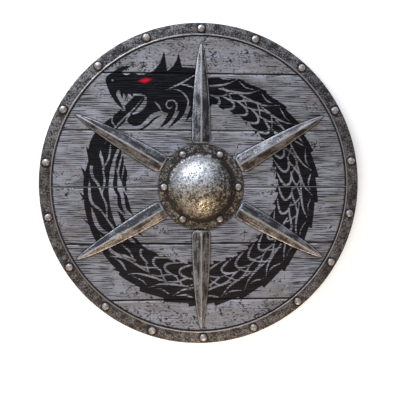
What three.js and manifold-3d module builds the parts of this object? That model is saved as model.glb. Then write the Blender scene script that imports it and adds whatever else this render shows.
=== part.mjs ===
// Round wooden shield with iron fittings, lying on its back with the boss facing up.
//
// Six planks lie edge to edge in an iron channel that wraps round their ends. An iron boss covers the
// hand hole in the middle, six iron blades fan out from it, and dome-headed rivets hold the rim and the
// boss. Behind the planks one long wooden batten ties them together and is the grip where it crosses
// the hand hole. The shield rests on that batten.
//
// Millimetres. +Z points out of the front, +Y runs across the planks towards the top one, and +X runs
// along them to the right of someone who faces the front. The origin is on the floor, under the centre
// of the rim.

import * as THREE from "three";
import { mergeVertices } from "three/addons/utils/BufferGeometryUtils.js";
import Module from "manifold-3d";

const wasm = await Module();
wasm.setup();

// ---- Driving dimensions ----

const SHIELD_RADIUS = 305; // outside of the rim: a 61 cm shield
const SHEET = 1.6; // thickness of the rim's iron sheet
const FIT_GAP = 0.3; // clearance between pieces that are cut to each other

const GRIP_THICKNESS = 20;
const PLANK_THICKNESS = 11;
const BOARD_BACK = GRIP_THICKNESS; // the planks lie on the grip batten
const BOARD_FRONT = BOARD_BACK + PLANK_THICKNESS;

const PLANK_WIDTH = 107.5;
const PLANK_COUNT = 6;
const CENTRE_DROP = 5.5; // the middle seam, the boss and the grip sit this far below the rim's centre
const BOARD_RADIUS = SHIELD_RADIUS - 2.5; // the planks' ends, clear of the inside of the channel
const RIM_SIDES = 60; // facets round the rim
const ARC_STEP = (2 * Math.PI) / RIM_SIDES; // one facet of the board's outline

const RIM_FRONT_WIDTH = 23;
const RIM_BACK_WIDTH = 17;
const RIM_LIP_WIDTH = 2.4; // the turned-up inner edge of the rim's front
const RIM_LIP_HEIGHT = 2.8; // from the board's face to the top of that edge
const RIM_CORNER = 1.2; // the eased outer corners of the channel
const RIM_FACE = BOARD_FRONT + SHEET;

const HAND_HOLE_RADIUS = 55;
const BOSS_SHEET = 1.8;
const BOSS_FLANGE_RADIUS = 81;
const BOSS_DOME_RADIUS = 58;
const BOSS_FILLET = 6; // how far the foot of the dome spreads into the flange
const BOSS_SPRING = 6; // height above the board where the dome's curve starts
const BOSS_HEIGHT = 54; // from the board's face to the top of the dome
const BOSS_FACE = BOARD_FRONT + BOSS_SHEET;
const BOSS_SIDES = 36;

const BLADE_COUNT = 6;
const BLADE_START = 83; // from the boss's centre to the blade's root
const BLADE_LENGTH = 189;
const BLADE_HALF_WIDTH = 17.5;
const BLADE_RIDGE = 9; // height of the ridge above the board
const BLADE_EDGE = 1.6; // thickness along the blade's two sides
const BLADE_TAPER = 2; // the two powers of the curve that narrows the blade to its point
const BLADE_FULLNESS = 0.7;
const BLADE_ROOT = 10; // length of the rounded, sloping root
const BLADE_STEPS = 11;
const BLADE_CROWDING = 0.8;
const BLADE_END_WIDTH = 0.4; // the root and the point end in a face this narrow, not in a knife edge

const RIM_RIVET_COUNT = 18;
const RIM_RIVET_CIRCLE = 294;
const RIM_RIVET_RADIUS = 7.4;
const RIM_RIVET_HEIGHT = 5.6;
const BOSS_RIVET_COUNT = 6;
const BOSS_RIVET_CIRCLE = 71;
const BOSS_RIVET_RADIUS = 6.7;
const BOSS_RIVET_HEIGHT = 5;
const SHANK_RADIUS = 2.4;
const SHANK_HOLE_RADIUS = 3;
const PEENED_RADIUS = 4.5; // the rivet's hammered end, behind the shield
const PEENED_HEIGHT = 1.2;
const RIVET_SIDES = 8;

const GRIP_HALF_LENGTH = 255;
const GRIP_HALF_WIDTH = 16; // where the hand closes round it
const GRIP_SHOULDER_HALF_WIDTH = 22; // where it meets the planks on each side of the hand hole
const GRIP_END_HALF_WIDTH = 14;
const GRIP_BEVEL = 4;

const NAIL_HEAD_RADIUS = 4;
const NAIL_HEAD_HEIGHT = 1.2;
const NAIL_SINK = 0.5; // the heads are driven this far below the grip's back
const NAIL_SHANK_RADIUS = 1.5;
const NAIL_TIP = BOARD_FRONT - 3; // the nails stop inside the planks
const NAIL_SIDES = 6;

// ---- Finishes ----

const limedPlank = new THREE.MeshStandardMaterial({ color: 0x76777d, roughness: 0.8, metalness: 0 });
const rawWood = new THREE.MeshStandardMaterial({ color: 0x6d5a45, roughness: 0.75, metalness: 0 });
const darkIron = new THREE.MeshStandardMaterial({ color: 0x555150, roughness: 0.55, metalness: 0.9 });
const rubbedIron = new THREE.MeshStandardMaterial({ color: 0x8f8c8c, roughness: 0.35, metalness: 0.9 });

// ---- Helpers ----

// A closed geometry as a manifold solid.
function toSolid(geometry) {
  const bare = new THREE.BufferGeometry();
  bare.setAttribute("position", geometry.getAttribute("position"));
  bare.setIndex(geometry.index);
  const merged = mergeVertices(bare, 1e-4);
  const vertProperties = new Float32Array(merged.attributes.position.array);
  const triVerts = new Uint32Array(merged.index.array);
  return new wasm.Manifold(new wasm.Mesh({ numProp: 3, vertProperties, triVerts }));
}

// A manifold solid as a flat-shaded geometry.
function toGeometry(solid) {
  const mesh = solid.getMesh();
  const geometry = new THREE.BufferGeometry();
  geometry.setAttribute("position", new THREE.BufferAttribute(mesh.vertProperties, 3));
  geometry.setIndex(new THREE.BufferAttribute(mesh.triVerts, 1));
  const flat = geometry.toNonIndexed();
  flat.computeVertexNormals();
  return flat;
}

// The geometry with every cutter taken out of it.
function cut(geometry, cutters) {
  let solid = toSolid(geometry);
  for (const cutter of cutters) {
    solid = solid.subtract(toSolid(cutter));
  }
  return toGeometry(solid);
}

// An upright cylinder from z = low to z = high.
function post(x, y, radius, low, high, sides) {
  const cylinder = new THREE.CylinderGeometry(radius, radius, high - low, sides);
  return cylinder.rotateX(Math.PI / 2).translate(x, y, (low + high) / 2);
}

// A profile of [radius, height] points turned round the Z axis.
function turned(profile, sides) {
  const points = profile.map(([radius, height]) => new THREE.Vector2(radius, height));
  return new THREE.LatheGeometry(points, sides).rotateX(Math.PI / 2);
}

function named(name, geometry, material) {
  const mesh = new THREE.Mesh(geometry, material);
  mesh.name = name;
  return mesh;
}

// ---- Where the fasteners stand ----

// The rim's rivets were spaced by eye. The angle is clockwise from the top, and its drift round the
// ring is a slow wave.
function rimRivetPlaces() {
  return Array.from({ length: RIM_RIVET_COUNT }, (_, i) => {
    const even = (360 / RIM_RIVET_COUNT) * i;
    const drift = 1.75 * Math.sin(THREE.MathUtils.degToRad(even + 12)) - 0.4;
    const angle = THREE.MathUtils.degToRad(90 - even - drift);
    return [RIM_RIVET_CIRCLE * Math.cos(angle), RIM_RIVET_CIRCLE * Math.sin(angle)];
  });
}

function bossRivetPlaces() {
  return Array.from({ length: BOSS_RIVET_COUNT }, (_, i) => {
    const angle = (2 * Math.PI * i) / BOSS_RIVET_COUNT;
    return [BOSS_RIVET_CIRCLE * Math.cos(angle), BOSS_RIVET_CIRCLE * Math.sin(angle) - CENTRE_DROP];
  });
}

// One nail in each plank, at the middle of the stretch between the hand hole and the grip's end that
// the plank covers.
function nailPlaces() {
  return plankEdges().map(([low, high]) => {
    const above = low + high > -2 * CENTRE_DROP;
    const holeEdge = (above ? HAND_HOLE_RADIUS : -HAND_HOLE_RADIUS) - CENTRE_DROP;
    const gripEnd = (above ? GRIP_HALF_LENGTH : -GRIP_HALF_LENGTH) - CENTRE_DROP;
    const from = Math.max(low, Math.min(holeEdge, gripEnd));
    const to = Math.min(high, Math.max(holeEdge, gripEnd));
    return [0, (from + to) / 2];
  });
}

// ---- Planks ----

// The lower and upper edge of each plank, from the top plank down. The outer two run out to the rim.
function plankEdges() {
  const middle = PLANK_COUNT / 2;
  return Array.from({ length: PLANK_COUNT }, (_, i) => {
    const high = i === 0 ? BOARD_RADIUS : (middle - i) * PLANK_WIDTH - CENTRE_DROP - FIT_GAP;
    const last = i === PLANK_COUNT - 1;
    const low = last ? -BOARD_RADIUS : (middle - i - 1) * PLANK_WIDTH - CENTRE_DROP + FIT_GAP;
    return [low, high];
  });
}

// A strip of the round board: straight along the seams, on the board's circle at the ends.
function plankOutline(low, high) {
  const angle = (y) => Math.asin(y / BOARD_RADIUS);
  const shape = new THREE.Shape();
  let arc = angle(high) - angle(low);
  if (high >= BOARD_RADIUS) {
    arc = Math.PI - 2 * angle(low);
    shape.absarc(0, 0, BOARD_RADIUS, angle(low), Math.PI - angle(low), false);
  } else if (low <= -BOARD_RADIUS) {
    arc = Math.PI + 2 * angle(high);
    shape.absarc(0, 0, BOARD_RADIUS, Math.PI - angle(high), 2 * Math.PI + angle(high), false);
  } else {
    shape.absarc(0, 0, BOARD_RADIUS, angle(low), angle(high), false);
    shape.absarc(0, 0, BOARD_RADIUS, Math.PI - angle(high), Math.PI - angle(low), false);
  }
  return { shape, curveSegments: Math.ceil(arc / ARC_STEP / 2) };
}

function makePlanks() {
  const hand = post(0, -CENTRE_DROP, HAND_HOLE_RADIUS, BOARD_BACK - 1, BOARD_FRONT + 1, BOSS_SIDES);
  const shanks = [...rimRivetPlaces(), ...bossRivetPlaces()].map(([x, y]) =>
    post(x, y, SHANK_HOLE_RADIUS, BOARD_BACK - 1, BOARD_FRONT + 1, RIVET_SIDES),
  );
  const nails = nailPlaces().map(([x, y]) =>
    post(x, y, NAIL_SHANK_RADIUS + FIT_GAP, BOARD_BACK - 1, NAIL_TIP + FIT_GAP, NAIL_SIDES),
  );
  return plankEdges().map(([low, high], i) => {
    const { shape, curveSegments } = plankOutline(low, high);
    const options = { depth: PLANK_THICKNESS, bevelEnabled: false, curveSegments };
    const blank = new THREE.ExtrudeGeometry(shape, options).translate(0, 0, BOARD_BACK);
    return named(`plank_${i + 1}`, cut(blank, [hand, ...shanks, ...nails]), limedPlank);
  });
}

// ---- Rim ----

// A channel that grips the planks' ends, with a turned-up lip on the front's inner edge.
function makeRim() {
  const inner = SHIELD_RADIUS - RIM_FRONT_WIDTH;
  const backInner = SHIELD_RADIUS - RIM_BACK_WIDTH;
  const wall = SHIELD_RADIUS - SHEET;
  const back = BOARD_BACK - SHEET;
  const lip = BOARD_FRONT + RIM_LIP_HEIGHT;
  const ease = RIM_LIP_WIDTH / 4;
  const profile = [
    [backInner, back],
    [SHIELD_RADIUS - RIM_CORNER, back],
    [SHIELD_RADIUS, back + RIM_CORNER],
    [SHIELD_RADIUS, RIM_FACE - RIM_CORNER],
    [SHIELD_RADIUS - RIM_CORNER, RIM_FACE],
    [inner + RIM_LIP_WIDTH, RIM_FACE],
    [inner + RIM_LIP_WIDTH - ease, lip],
    [inner + ease, lip],
    [inner, BOARD_FRONT],
    [wall, BOARD_FRONT],
    [wall, BOARD_BACK],
    [backInner, BOARD_BACK],
    [backInner, back],
  ];
  const holes = rimRivetPlaces().map(([x, y]) =>
    post(x, y, SHANK_HOLE_RADIUS, back - 1, RIM_FACE + 1, RIVET_SIDES),
  );
  return named("rim", cut(turned(profile, RIM_SIDES), holes), darkIron);
}

// ---- Boss ----

// The dome's curve is a quarter ellipse above its springing line, and its foot is a quarter-round
// fillet that runs out into the flange. The inside repeats both, one sheet thickness in.
function makeBoss() {
  const spring = BOARD_FRONT + BOSS_SPRING;
  const rise = BOSS_HEIGHT - BOSS_SPRING;
  const quarter = (radius, height, facets) =>
    Array.from({ length: facets + 1 }, (_, i) => {
      const a = ((Math.PI / 2) * i) / facets;
      return [i < facets ? radius * Math.cos(a) : 0, spring + height * Math.sin(a)];
    });
  const outer = quarter(BOSS_DOME_RADIUS, rise, 6);
  const inner = quarter(BOSS_DOME_RADIUS - BOSS_SHEET, rise - BOSS_SHEET, 5);
  const fillet = [90, 60, 30].map(THREE.MathUtils.degToRad).map((a) => [
    BOSS_DOME_RADIUS + BOSS_FILLET * (1 - Math.cos(a)),
    BOSS_FACE + (spring - BOSS_FACE) * (1 - Math.sin(a)),
  ]);
  const profile = [
    ...inner.reverse(),
    [BOSS_DOME_RADIUS + 1, BOARD_FRONT],
    [BOSS_FLANGE_RADIUS, BOARD_FRONT],
    [BOSS_FLANGE_RADIUS, BOSS_FACE - 0.6],
    [BOSS_FLANGE_RADIUS - 0.6, BOSS_FACE],
    ...fillet,
    ...outer,
  ];
  const holes = bossRivetPlaces().map(([x, y]) =>
    post(x, y + CENTRE_DROP, SHANK_HOLE_RADIUS, BOARD_FRONT - 1, BOSS_FACE + 1, RIVET_SIDES),
  );
  const boss = named("boss", cut(turned(profile, BOSS_SIDES), holes), rubbedIron);
  boss.position.y = -CENTRE_DROP;
  return boss;
}

// ---- Blades ----

// The share of the blade's length at an even step s from root to point. The stations crowd together
// at both ends, where the outline curves most.
function bladeStation(s) {
  return s - (BLADE_CROWDING / (2 * Math.PI)) * Math.sin(2 * Math.PI * s);
}

// Half the blade's width at share t of its length: a leaf that narrows to a point, with a rounded root.
function bladeHalfWidth(t) {
  const leaf = (1 - t ** BLADE_TAPER) ** BLADE_FULLNESS;
  const root = Math.min(1, (t * BLADE_LENGTH) / BLADE_ROOT);
  const rounding = 0.55 + 0.45 * Math.sqrt(1 - (1 - root) ** 2);
  return Math.max(BLADE_END_WIDTH, BLADE_HALF_WIDTH * leaf * rounding);
}

// Height of the ridge at share t: it slopes up over the root, then sinks slowly to the point.
function bladeRidge(t) {
  const root = Math.min(1, (t * BLADE_LENGTH) / BLADE_ROOT);
  return BLADE_EDGE + (BLADE_RIDGE - BLADE_EDGE) * (0.35 + 0.65 * root) * (1 - t ** 3);
}

// A box whose cross-section becomes a low gable: flat below, two thin sides, and a ridge on top.
function bladeGeometry() {
  const box = new THREE.BoxGeometry(2, 1, 1, 2, BLADE_STEPS, 1);
  const position = box.getAttribute("position");
  for (let i = 0; i < position.count; i += 1) {
    const side = position.getX(i); // -1, 0 or 1 across the blade
    const t = bladeStation(position.getY(i) + 0.5);
    const top = position.getZ(i) > 0;
    const ridge = side === 0 ? bladeRidge(t) : BLADE_EDGE;
    position.setXYZ(i, side * bladeHalfWidth(t), t * BLADE_LENGTH, top ? ridge : 0);
  }
  return box;
}

function makeBlades() {
  const fan = new THREE.Group();
  fan.position.set(0, -CENTRE_DROP, BOARD_FRONT);
  for (let i = 0; i < BLADE_COUNT; i += 1) {
    const arm = new THREE.Group();
    arm.rotation.z = (-2 * Math.PI * i) / BLADE_COUNT;
    const blade = named(`blade_${i + 1}`, bladeGeometry(), rubbedIron);
    blade.position.y = BLADE_START;
    arm.add(blade);
    fan.add(arm);
  }
  return fan;
}

// ---- Rivets ----

// Domed head in front, shank through the stack, hammered end behind.
function rivetGeometry(headRadius, headHeight, stack) {
  const dome = [0, 35, 65].map(THREE.MathUtils.degToRad).map((a) => [
    headRadius * Math.cos(a),
    headHeight * Math.sin(a),
  ]);
  const profile = [
    [0, -stack - PEENED_HEIGHT],
    [PEENED_RADIUS, -stack - PEENED_HEIGHT],
    [PEENED_RADIUS, -stack],
    [SHANK_RADIUS, -stack],
    [SHANK_RADIUS, 0],
    ...dome,
    [0, headHeight],
  ];
  return turned(profile, RIVET_SIDES);
}

function makeRivets(prefix, places, face, back, headRadius, headHeight) {
  return places.map(([x, y], i) => {
    const rivet = named(
      `${prefix}_${String(i + 1).padStart(2, "0")}`,
      rivetGeometry(headRadius, headHeight, face - back),
      rubbedIron,
    );
    rivet.position.set(x, y, face);
    return rivet;
  });
}

// ---- Grip ----

// Half of the batten's outline in steps of length from its middle: waisted for the hand, full where it
// meets the planks, and tapering to the ends.
function gripOutline() {
  const halfSteps = [
    [GRIP_HALF_LENGTH, GRIP_END_HALF_WIDTH],
    [HAND_HOLE_RADIUS + 22, GRIP_SHOULDER_HALF_WIDTH],
    [HAND_HOLE_RADIUS - 2, GRIP_SHOULDER_HALF_WIDTH - 2],
    [HAND_HOLE_RADIUS - 20, GRIP_HALF_WIDTH],
  ];
  const right = [
    ...halfSteps.map(([along, half]) => [half, -along]),
    ...halfSteps.toReversed().map(([along, half]) => [half, along]),
  ];
  const left = right.toReversed().map(([x, y]) => [-x, y]);
  const inset = ([x, y]) => new THREE.Vector2(x - Math.sign(x) * GRIP_BEVEL, y - Math.sign(y) * GRIP_BEVEL);
  return new THREE.Shape([...right, ...left].map(inset));
}

function makeGrip() {
  const options = {
    depth: GRIP_THICKNESS - 2 * GRIP_BEVEL,
    bevelThickness: GRIP_BEVEL,
    bevelSize: GRIP_BEVEL,
    bevelSegments: 1,
    curveSegments: 1,
  };
  const blank = new THREE.ExtrudeGeometry(gripOutline(), options);
  blank.translate(0, -CENTRE_DROP, GRIP_BEVEL);
  const holes = nailPlaces().flatMap(([x, y]) => [
    post(x, y, NAIL_SHANK_RADIUS + FIT_GAP, -1, GRIP_THICKNESS + 1, NAIL_SIDES),
    post(x, y, NAIL_HEAD_RADIUS + 2 * FIT_GAP, -1, NAIL_SINK + NAIL_HEAD_HEIGHT + FIT_GAP, NAIL_SIDES),
  ]);
  return named("grip", cut(blank, holes), rawWood);
}

function makeNails() {
  const length = NAIL_TIP - NAIL_SINK;
  const profile = [
    [0, 0],
    [NAIL_HEAD_RADIUS, 0],
    [NAIL_HEAD_RADIUS, NAIL_HEAD_HEIGHT],
    [NAIL_SHANK_RADIUS, NAIL_HEAD_HEIGHT],
    [NAIL_SHANK_RADIUS, length],
    [0, length],
  ];
  return nailPlaces().map(([x, y], i) => {
    const nail = named(`grip_nail_${i + 1}`, turned(profile, NAIL_SIDES), darkIron);
    nail.position.set(x, y, NAIL_SINK);
    return nail;
  });
}

// ---- The shield ----

const shield = new THREE.Group();
const rimBack = BOARD_BACK - SHEET;
shield.add(
  ...makePlanks(),
  makeRim(),
  makeBoss(),
  makeBlades(),
  ...makeRivets("rim_rivet", rimRivetPlaces(), RIM_FACE, rimBack, RIM_RIVET_RADIUS, RIM_RIVET_HEIGHT),
  ...makeRivets("boss_rivet", bossRivetPlaces(), BOSS_FACE, BOARD_BACK, BOSS_RIVET_RADIUS, BOSS_RIVET_HEIGHT),
  makeGrip(),
  ...makeNails(),
);

export default shield;
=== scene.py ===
# %% [markdown]
# # A round wooden shield with iron fittings
#
# The shield lies on its back with the boss up. Six grey limed planks sit in an iron rim, an iron boss
# covers the hand hole, and six iron blades fan out from it. A ring-shaped beast is painted on the planks in
# black.
#
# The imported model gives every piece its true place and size, so this lesson only makes surfaces: each piece
# is worked out as an array of points, put into a mesh, and given the finish that the real material has.

# %% Load the frame
import math

import bpy
import numpy as np
from mathutils import Matrix, Vector


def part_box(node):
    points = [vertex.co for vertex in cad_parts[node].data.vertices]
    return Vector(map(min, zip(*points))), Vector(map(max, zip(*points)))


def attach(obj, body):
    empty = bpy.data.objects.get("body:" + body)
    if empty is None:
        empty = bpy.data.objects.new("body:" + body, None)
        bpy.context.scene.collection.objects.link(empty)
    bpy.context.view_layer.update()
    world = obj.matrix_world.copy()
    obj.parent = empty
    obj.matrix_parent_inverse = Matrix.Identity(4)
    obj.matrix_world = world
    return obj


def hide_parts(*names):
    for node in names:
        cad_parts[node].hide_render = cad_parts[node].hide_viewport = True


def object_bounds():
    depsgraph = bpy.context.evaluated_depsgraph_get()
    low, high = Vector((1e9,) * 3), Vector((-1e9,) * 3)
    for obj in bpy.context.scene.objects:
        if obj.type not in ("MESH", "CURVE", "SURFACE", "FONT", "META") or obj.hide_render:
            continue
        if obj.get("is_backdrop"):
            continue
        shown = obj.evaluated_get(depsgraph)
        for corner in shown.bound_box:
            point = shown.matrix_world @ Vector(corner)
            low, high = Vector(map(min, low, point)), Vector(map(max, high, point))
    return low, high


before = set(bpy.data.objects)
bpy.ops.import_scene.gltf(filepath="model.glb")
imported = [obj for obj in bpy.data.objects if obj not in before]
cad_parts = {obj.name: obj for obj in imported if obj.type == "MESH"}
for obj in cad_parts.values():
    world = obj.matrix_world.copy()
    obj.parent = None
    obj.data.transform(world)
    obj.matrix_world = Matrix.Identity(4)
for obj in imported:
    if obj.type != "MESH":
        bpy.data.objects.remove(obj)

cad_box = [list(corner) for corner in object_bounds()]
print("CAD box, m:", [[round(v, 4) for v in corner] for corner in cad_box])

# %% [markdown]
# ## Working in millimetres
#
# Blender measures in metres, but a shield maker thinks in millimetres. Every shape below is worked out in
# millimetres and scaled once, when its points go into a mesh. The places come from the boxes of the packed
# nodes.

# %% Read the places from the frame
MM = 0.001


def node_box(node):
    """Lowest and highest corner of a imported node, in millimetres."""
    low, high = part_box(node)
    return np.array(low) / MM, np.array(high) / MM


inner_low, inner_high = node_box("plank_3")
board_back, board_front = inner_low[2], inner_high[2]
board_radius = inner_high[0]
boss_low, boss_high = node_box("boss")
hand_centre = (boss_low[1] + boss_high[1]) / 2
print(f"board: {board_radius:.1f} mm in radius, from z = {board_back:.1f} to {board_front:.1f}")
print(f"the boss, the grip and the blades are centred on y = {hand_centre:.1f}")

# %% [markdown]
# ## A field of smooth noise
#
# Wood, forged iron and old paint are all uneven in the same way: random, but smooth up close. Blender's
# noise texture does this in a material. For real relief the same thing is needed in numpy. This is gradient
# noise: each corner of a unit cell gets a random slope, and the slopes are blended with an S-curve.

# %% Smooth noise
SLOPES = np.array(
    [(1, 1, 0), (-1, 1, 0), (1, -1, 0), (-1, -1, 0), (1, 0, 1), (-1, 0, 1), (1, 0, -1), (-1, 0, -1)]
    + [(0, 1, 1), (0, -1, 1), (0, 1, -1), (0, -1, -1), (1, 1, 0), (0, -1, 1), (-1, 1, 0), (0, -1, -1)],
    float,
)


def noise(points, size, seed):
    """Smooth noise from about -1 to 1. `size` is the width of one cell in mm, one number or one for each
    axis."""
    p = np.asarray(points, float) / np.asarray(size, float)
    cell = np.floor(p).astype(np.int64)
    inside = p - cell
    ease = inside**3 * (inside * (inside * 6 - 15) + 10)
    total = np.zeros(len(p))
    for corner in np.ndindex(2, 2, 2):
        c = cell + corner
        # large odd numbers scramble the corner's place into a code, and four bits of it choose the slope
        code = c[:, 0] * 73856093 ^ c[:, 1] * 19349663 ^ c[:, 2] * 83492791 ^ seed * 2654435761
        code = (code ^ (code >> 13)) * 1274126177
        slope = SLOPES[(code ^ (code >> 16)) & 15]
        weight = np.where(corner, ease, 1 - ease).prod(axis=1)
        total += weight * ((inside - corner) * slope).sum(axis=1)
    return total * 1.3


def smooth_step(low, high, value):
    """0 on the low side, 1 on the high side, and an S-curve between. With low above high it falls instead."""
    t = np.clip((value - low) / (high - low), 0, 1)
    return t * t * (3 - 2 * t)


sample = noise(np.random.default_rng(1).uniform(0, 500, (4000, 3)), 10, 7)
print(f"noise runs from {sample.min():.2f} to {sample.max():.2f}, with a mean of {sample.mean():.3f}")

# %% [markdown]
# ## From points to a piece
#
# All pieces but the floor are one kind of surface: a closed section carried along a path. The planks are
# carried along their length, the blades from root to point, and the rim, the boss and the rivets round an
# axis. So one grid of faces serves them all. A section that closes on itself needs only its two ends
# covered.

# %% Make a mesh from a carried section
pieces = {}


def carried_faces(stations, count, ring):
    """Faces of a closed section of `count` points at each of `stations` places. A ring joins the last place
    to the first. Otherwise a fan covers each end: it is a list of triangles from the end's first point."""
    index = np.arange(stations * count).reshape(stations, count)
    ahead = np.roll(index, -1, axis=0) if ring else index[1:]
    here = index if ring else index[:-1]
    quads = np.stack([here, np.roll(here, -1, 1), np.roll(ahead, -1, 1), ahead], -1).reshape(-1, 4)
    if ring:
        return quads, np.zeros((0, 3), int)
    first, last = index[0], index[-1]
    start = np.stack([np.full(count - 2, first[0]), first[2:], first[1:-1]], -1)
    end = np.stack([np.full(count - 2, last[0]), last[1:-1], last[2:]], -1)
    return quads, np.vstack([start, end])


def enclosed_volume(points, quads, triangles):
    """Sum over the faces of the signed volume of the pyramid between each face and the origin."""
    split = np.vstack([quads[:, [0, 1, 2]], quads[:, [0, 2, 3]], triangles])
    a, b, c = (points[split[:, i]] for i in range(3))
    return float((a * np.cross(b, c)).sum() / 6)


def add_piece(name, points, faces, finish, attributes):
    """Puts points in mm and their faces into a mesh with its finish, in place of the CAD node of its name."""
    points = points.reshape(-1, 3)
    quads, triangles = faces
    volume = enclosed_volume(points, quads, triangles)
    # a negative volume means that the faces point inwards, so each is turned round
    if volume < 0:
        quads, triangles = quads[:, ::-1], triangles[:, ::-1]
    mesh = bpy.data.meshes.new(name)
    mesh.vertices.add(len(points))
    mesh.vertices.foreach_set("co", (points * MM).astype(np.float32).ravel())
    corners = np.concatenate([quads.ravel(), triangles.ravel()]).astype(np.int32)
    mesh.loops.add(len(corners))
    mesh.loops.foreach_set("vertex_index", corners)
    sizes = np.concatenate([np.full(len(quads), 4), np.full(len(triangles), 3)])
    mesh.polygons.add(len(sizes))
    mesh.polygons.foreach_set("loop_start", (np.cumsum(sizes) - sizes).astype(np.int32))
    mesh.update(calc_edges=True)
    mesh.validate()
    mesh.shade_smooth()
    for label, values in attributes.items():
        layer = mesh.attributes.new(label, "FLOAT", "POINT")
        layer.data.foreach_set("value", np.asarray(values, np.float32).ravel())
    mesh.materials.append(finish)
    piece = bpy.data.objects.new(name, mesh)
    bpy.context.scene.collection.objects.link(piece)
    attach(piece, "root")
    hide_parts(name.removesuffix("_surface"))
    pieces[name] = (2 * len(quads) + len(triangles), abs(volume) / 1000)
    return piece


def report(prefix):
    """Prints how many triangles and how much material the pieces with this prefix hold."""
    chosen = [v for name, v in pieces.items() if name.startswith(prefix)]
    triangles, volume = sum(t for t, _ in chosen), sum(v for _, v in chosen)
    print(f"{prefix}: {len(chosen)} pieces, {triangles} triangles, {volume:.1f} cm3")


# %% [markdown]
# ## Nodes for a finish
#
# A finish is a small tree of nodes. One helper adds any node with its settings and links, so that a material
# below reads as a list of what its surface does. Colours are given as they look on a screen, and one function
# turns them into the linear light that Blender calculates with.

# %% Add a node
def linear(hex_colour):
    """Linear red, green, blue and alpha of an sRGB colour such as 0x808080."""
    channels = np.array([hex_colour >> 16 & 255, hex_colour >> 8 & 255, hex_colour & 255]) / 255
    light = np.where(channels <= 0.04045, channels / 12.92, ((channels + 0.055) / 1.055) ** 2.4)
    return (*light.tolist(), 1.0)


def add(material, kind, inputs=None, output=0, **settings):
    """Adds a node, sets its settings, then fills its inputs with a number, a colour or another node's
    output."""
    node = material.node_tree.nodes.new("ShaderNode" + kind)
    for name, value in settings.items():
        setattr(node, name, value)
    for socket, value in (inputs or {}).items():
        if isinstance(value, bpy.types.NodeSocket):
            material.node_tree.links.new(value, node.inputs[socket])
        else:
            node.inputs[socket].default_value = value
    return node.outputs[output]


def new_finish(name):
    """An empty material and its Principled shader."""
    material = bpy.data.materials.new(name)
    material.use_nodes = True
    return material, material.node_tree.nodes["Principled BSDF"]


# In a Mix node set to colours, these are the sockets for the share and the two colours, and the result.
SHARE, FIRST, SECOND, MIXED = 0, 6, 7, 2


def cells(size_mm):
    """Scale of a Mapping node that makes one unit of pattern this many millimetres along each axis."""
    return tuple(1 / (MM * s) for s in size_mm)


# %% [markdown]
# ## The painted beast
#
# On the real shield the picture is black paint, brushed on the planks before the iron went on: a serpent
# with a dragon's head that lies in a ring and bites its own tail. The paint could be drawn as a texture.
# Here it is a number at each point of the planks instead: how many millimetres that point lies inside the
# painted shape. Zero is the brush's edge, so the finish can cut it sharply, or wear it away, at any scale.
#
# Three kinds of mark are enough. A stroke is a curve with a width that swells and thins. A shape is a closed
# outline. The ring's body is a band whose two edges are saw-toothed where the scales end.

# %% Marks of the brush
REACH = 6.0  # distances past this many mm from a mark's edge aren't followed


def through(points, steps=8):
    """A smooth curve through the points: between two of them it is the cubic whose slope at each point is
    half the step from the point before it to the point after it."""
    p = np.asarray(points, float)
    p = np.vstack([2 * p[0] - p[1], p, 2 * p[-1] - p[-2]])
    t = np.linspace(0, 1, steps, endpoint=False)[:, None]
    a, b, c, d = p[:-3, None], p[1:-2, None], p[2:-1, None], p[3:, None]
    slope, bend, twist = c - a, 2 * a - 5 * b + 4 * c - d, 3 * b - a - 3 * c + d
    curve = 0.5 * (2 * b + slope * t + bend * t**2 + twist * t**3)
    return np.vstack([curve.reshape(-1, 2), p[-2]])


def near(x, y, path, reach):
    """Which points lie in the box round a path, widened by `reach`."""
    low, high = path.min(axis=0) - reach, path.max(axis=0) + reach
    return np.flatnonzero((x > low[0]) & (x < high[0]) & (y > low[1]) & (y < high[1]))


def to_segment(x, y, start, stop):
    """Distance from each point to a straight segment, and the share of the segment where it is nearest."""
    along = stop - start
    share = ((x - start[0]) * along[0] + (y - start[1]) * along[1]) / max(along @ along, 1e-9)
    share = np.clip(share, 0, 1)
    return np.hypot(x - start[0] - share * along[0], y - start[1] - share * along[1]), share


def stroke(x, y, path, width, start=0.0, stop=0.0, belly=0.5):
    """Depth inside a brush stroke: half its width where the path is nearest, less the distance to the path.
    The width swells as a sine from its `start` share to the full at `belly`, then thins as a cosine to
    `stop`."""
    depth = np.full(x.shape, -REACH)
    hit = near(x, y, path, width / 2 + REACH)
    run = np.concatenate([[0], np.cumsum(np.hypot(*np.diff(path, axis=0).T))])
    share = run / run[-1]
    swell = start + (1 - start) * np.sin(np.pi / 2 * np.clip(share / belly, 0, 1))
    thin = stop + (1 - stop) * np.cos(np.pi / 2 * np.clip((share - belly) / (1 - belly), 0, 1))
    half = width / 2 * np.where(share < belly, swell, thin)
    for i in range(len(path) - 1):
        away, t = to_segment(x[hit], y[hit], path[i], path[i + 1])
        depth[hit] = np.maximum(depth[hit], half[i] + t * (half[i + 1] - half[i]) - away)
    return depth


def shape(x, y, outline):
    """Depth inside a closed outline: the distance to its nearest side, negative outside. A point is inside
    if a line from it to the right crosses the sides an odd number of times."""
    depth = np.full(x.shape, -REACH)
    hit = near(x, y, outline, REACH)
    away = np.full(hit.shape, np.inf)
    inside = np.zeros(hit.shape, bool)
    px, py = x[hit], y[hit]
    for a, b in zip(outline, np.roll(outline, -1, axis=0)):
        away = np.minimum(away, to_segment(px, py, a, b)[0])
        if a[1] != b[1]:
            level = (a[1] > py) != (b[1] > py)
            inside ^= level & (px < a[0] + (py - a[1]) * (b[0] - a[0]) / (b[1] - a[1]))
    depth[hit] = np.clip(np.where(inside, away, -away), -REACH, REACH)
    return depth


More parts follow.
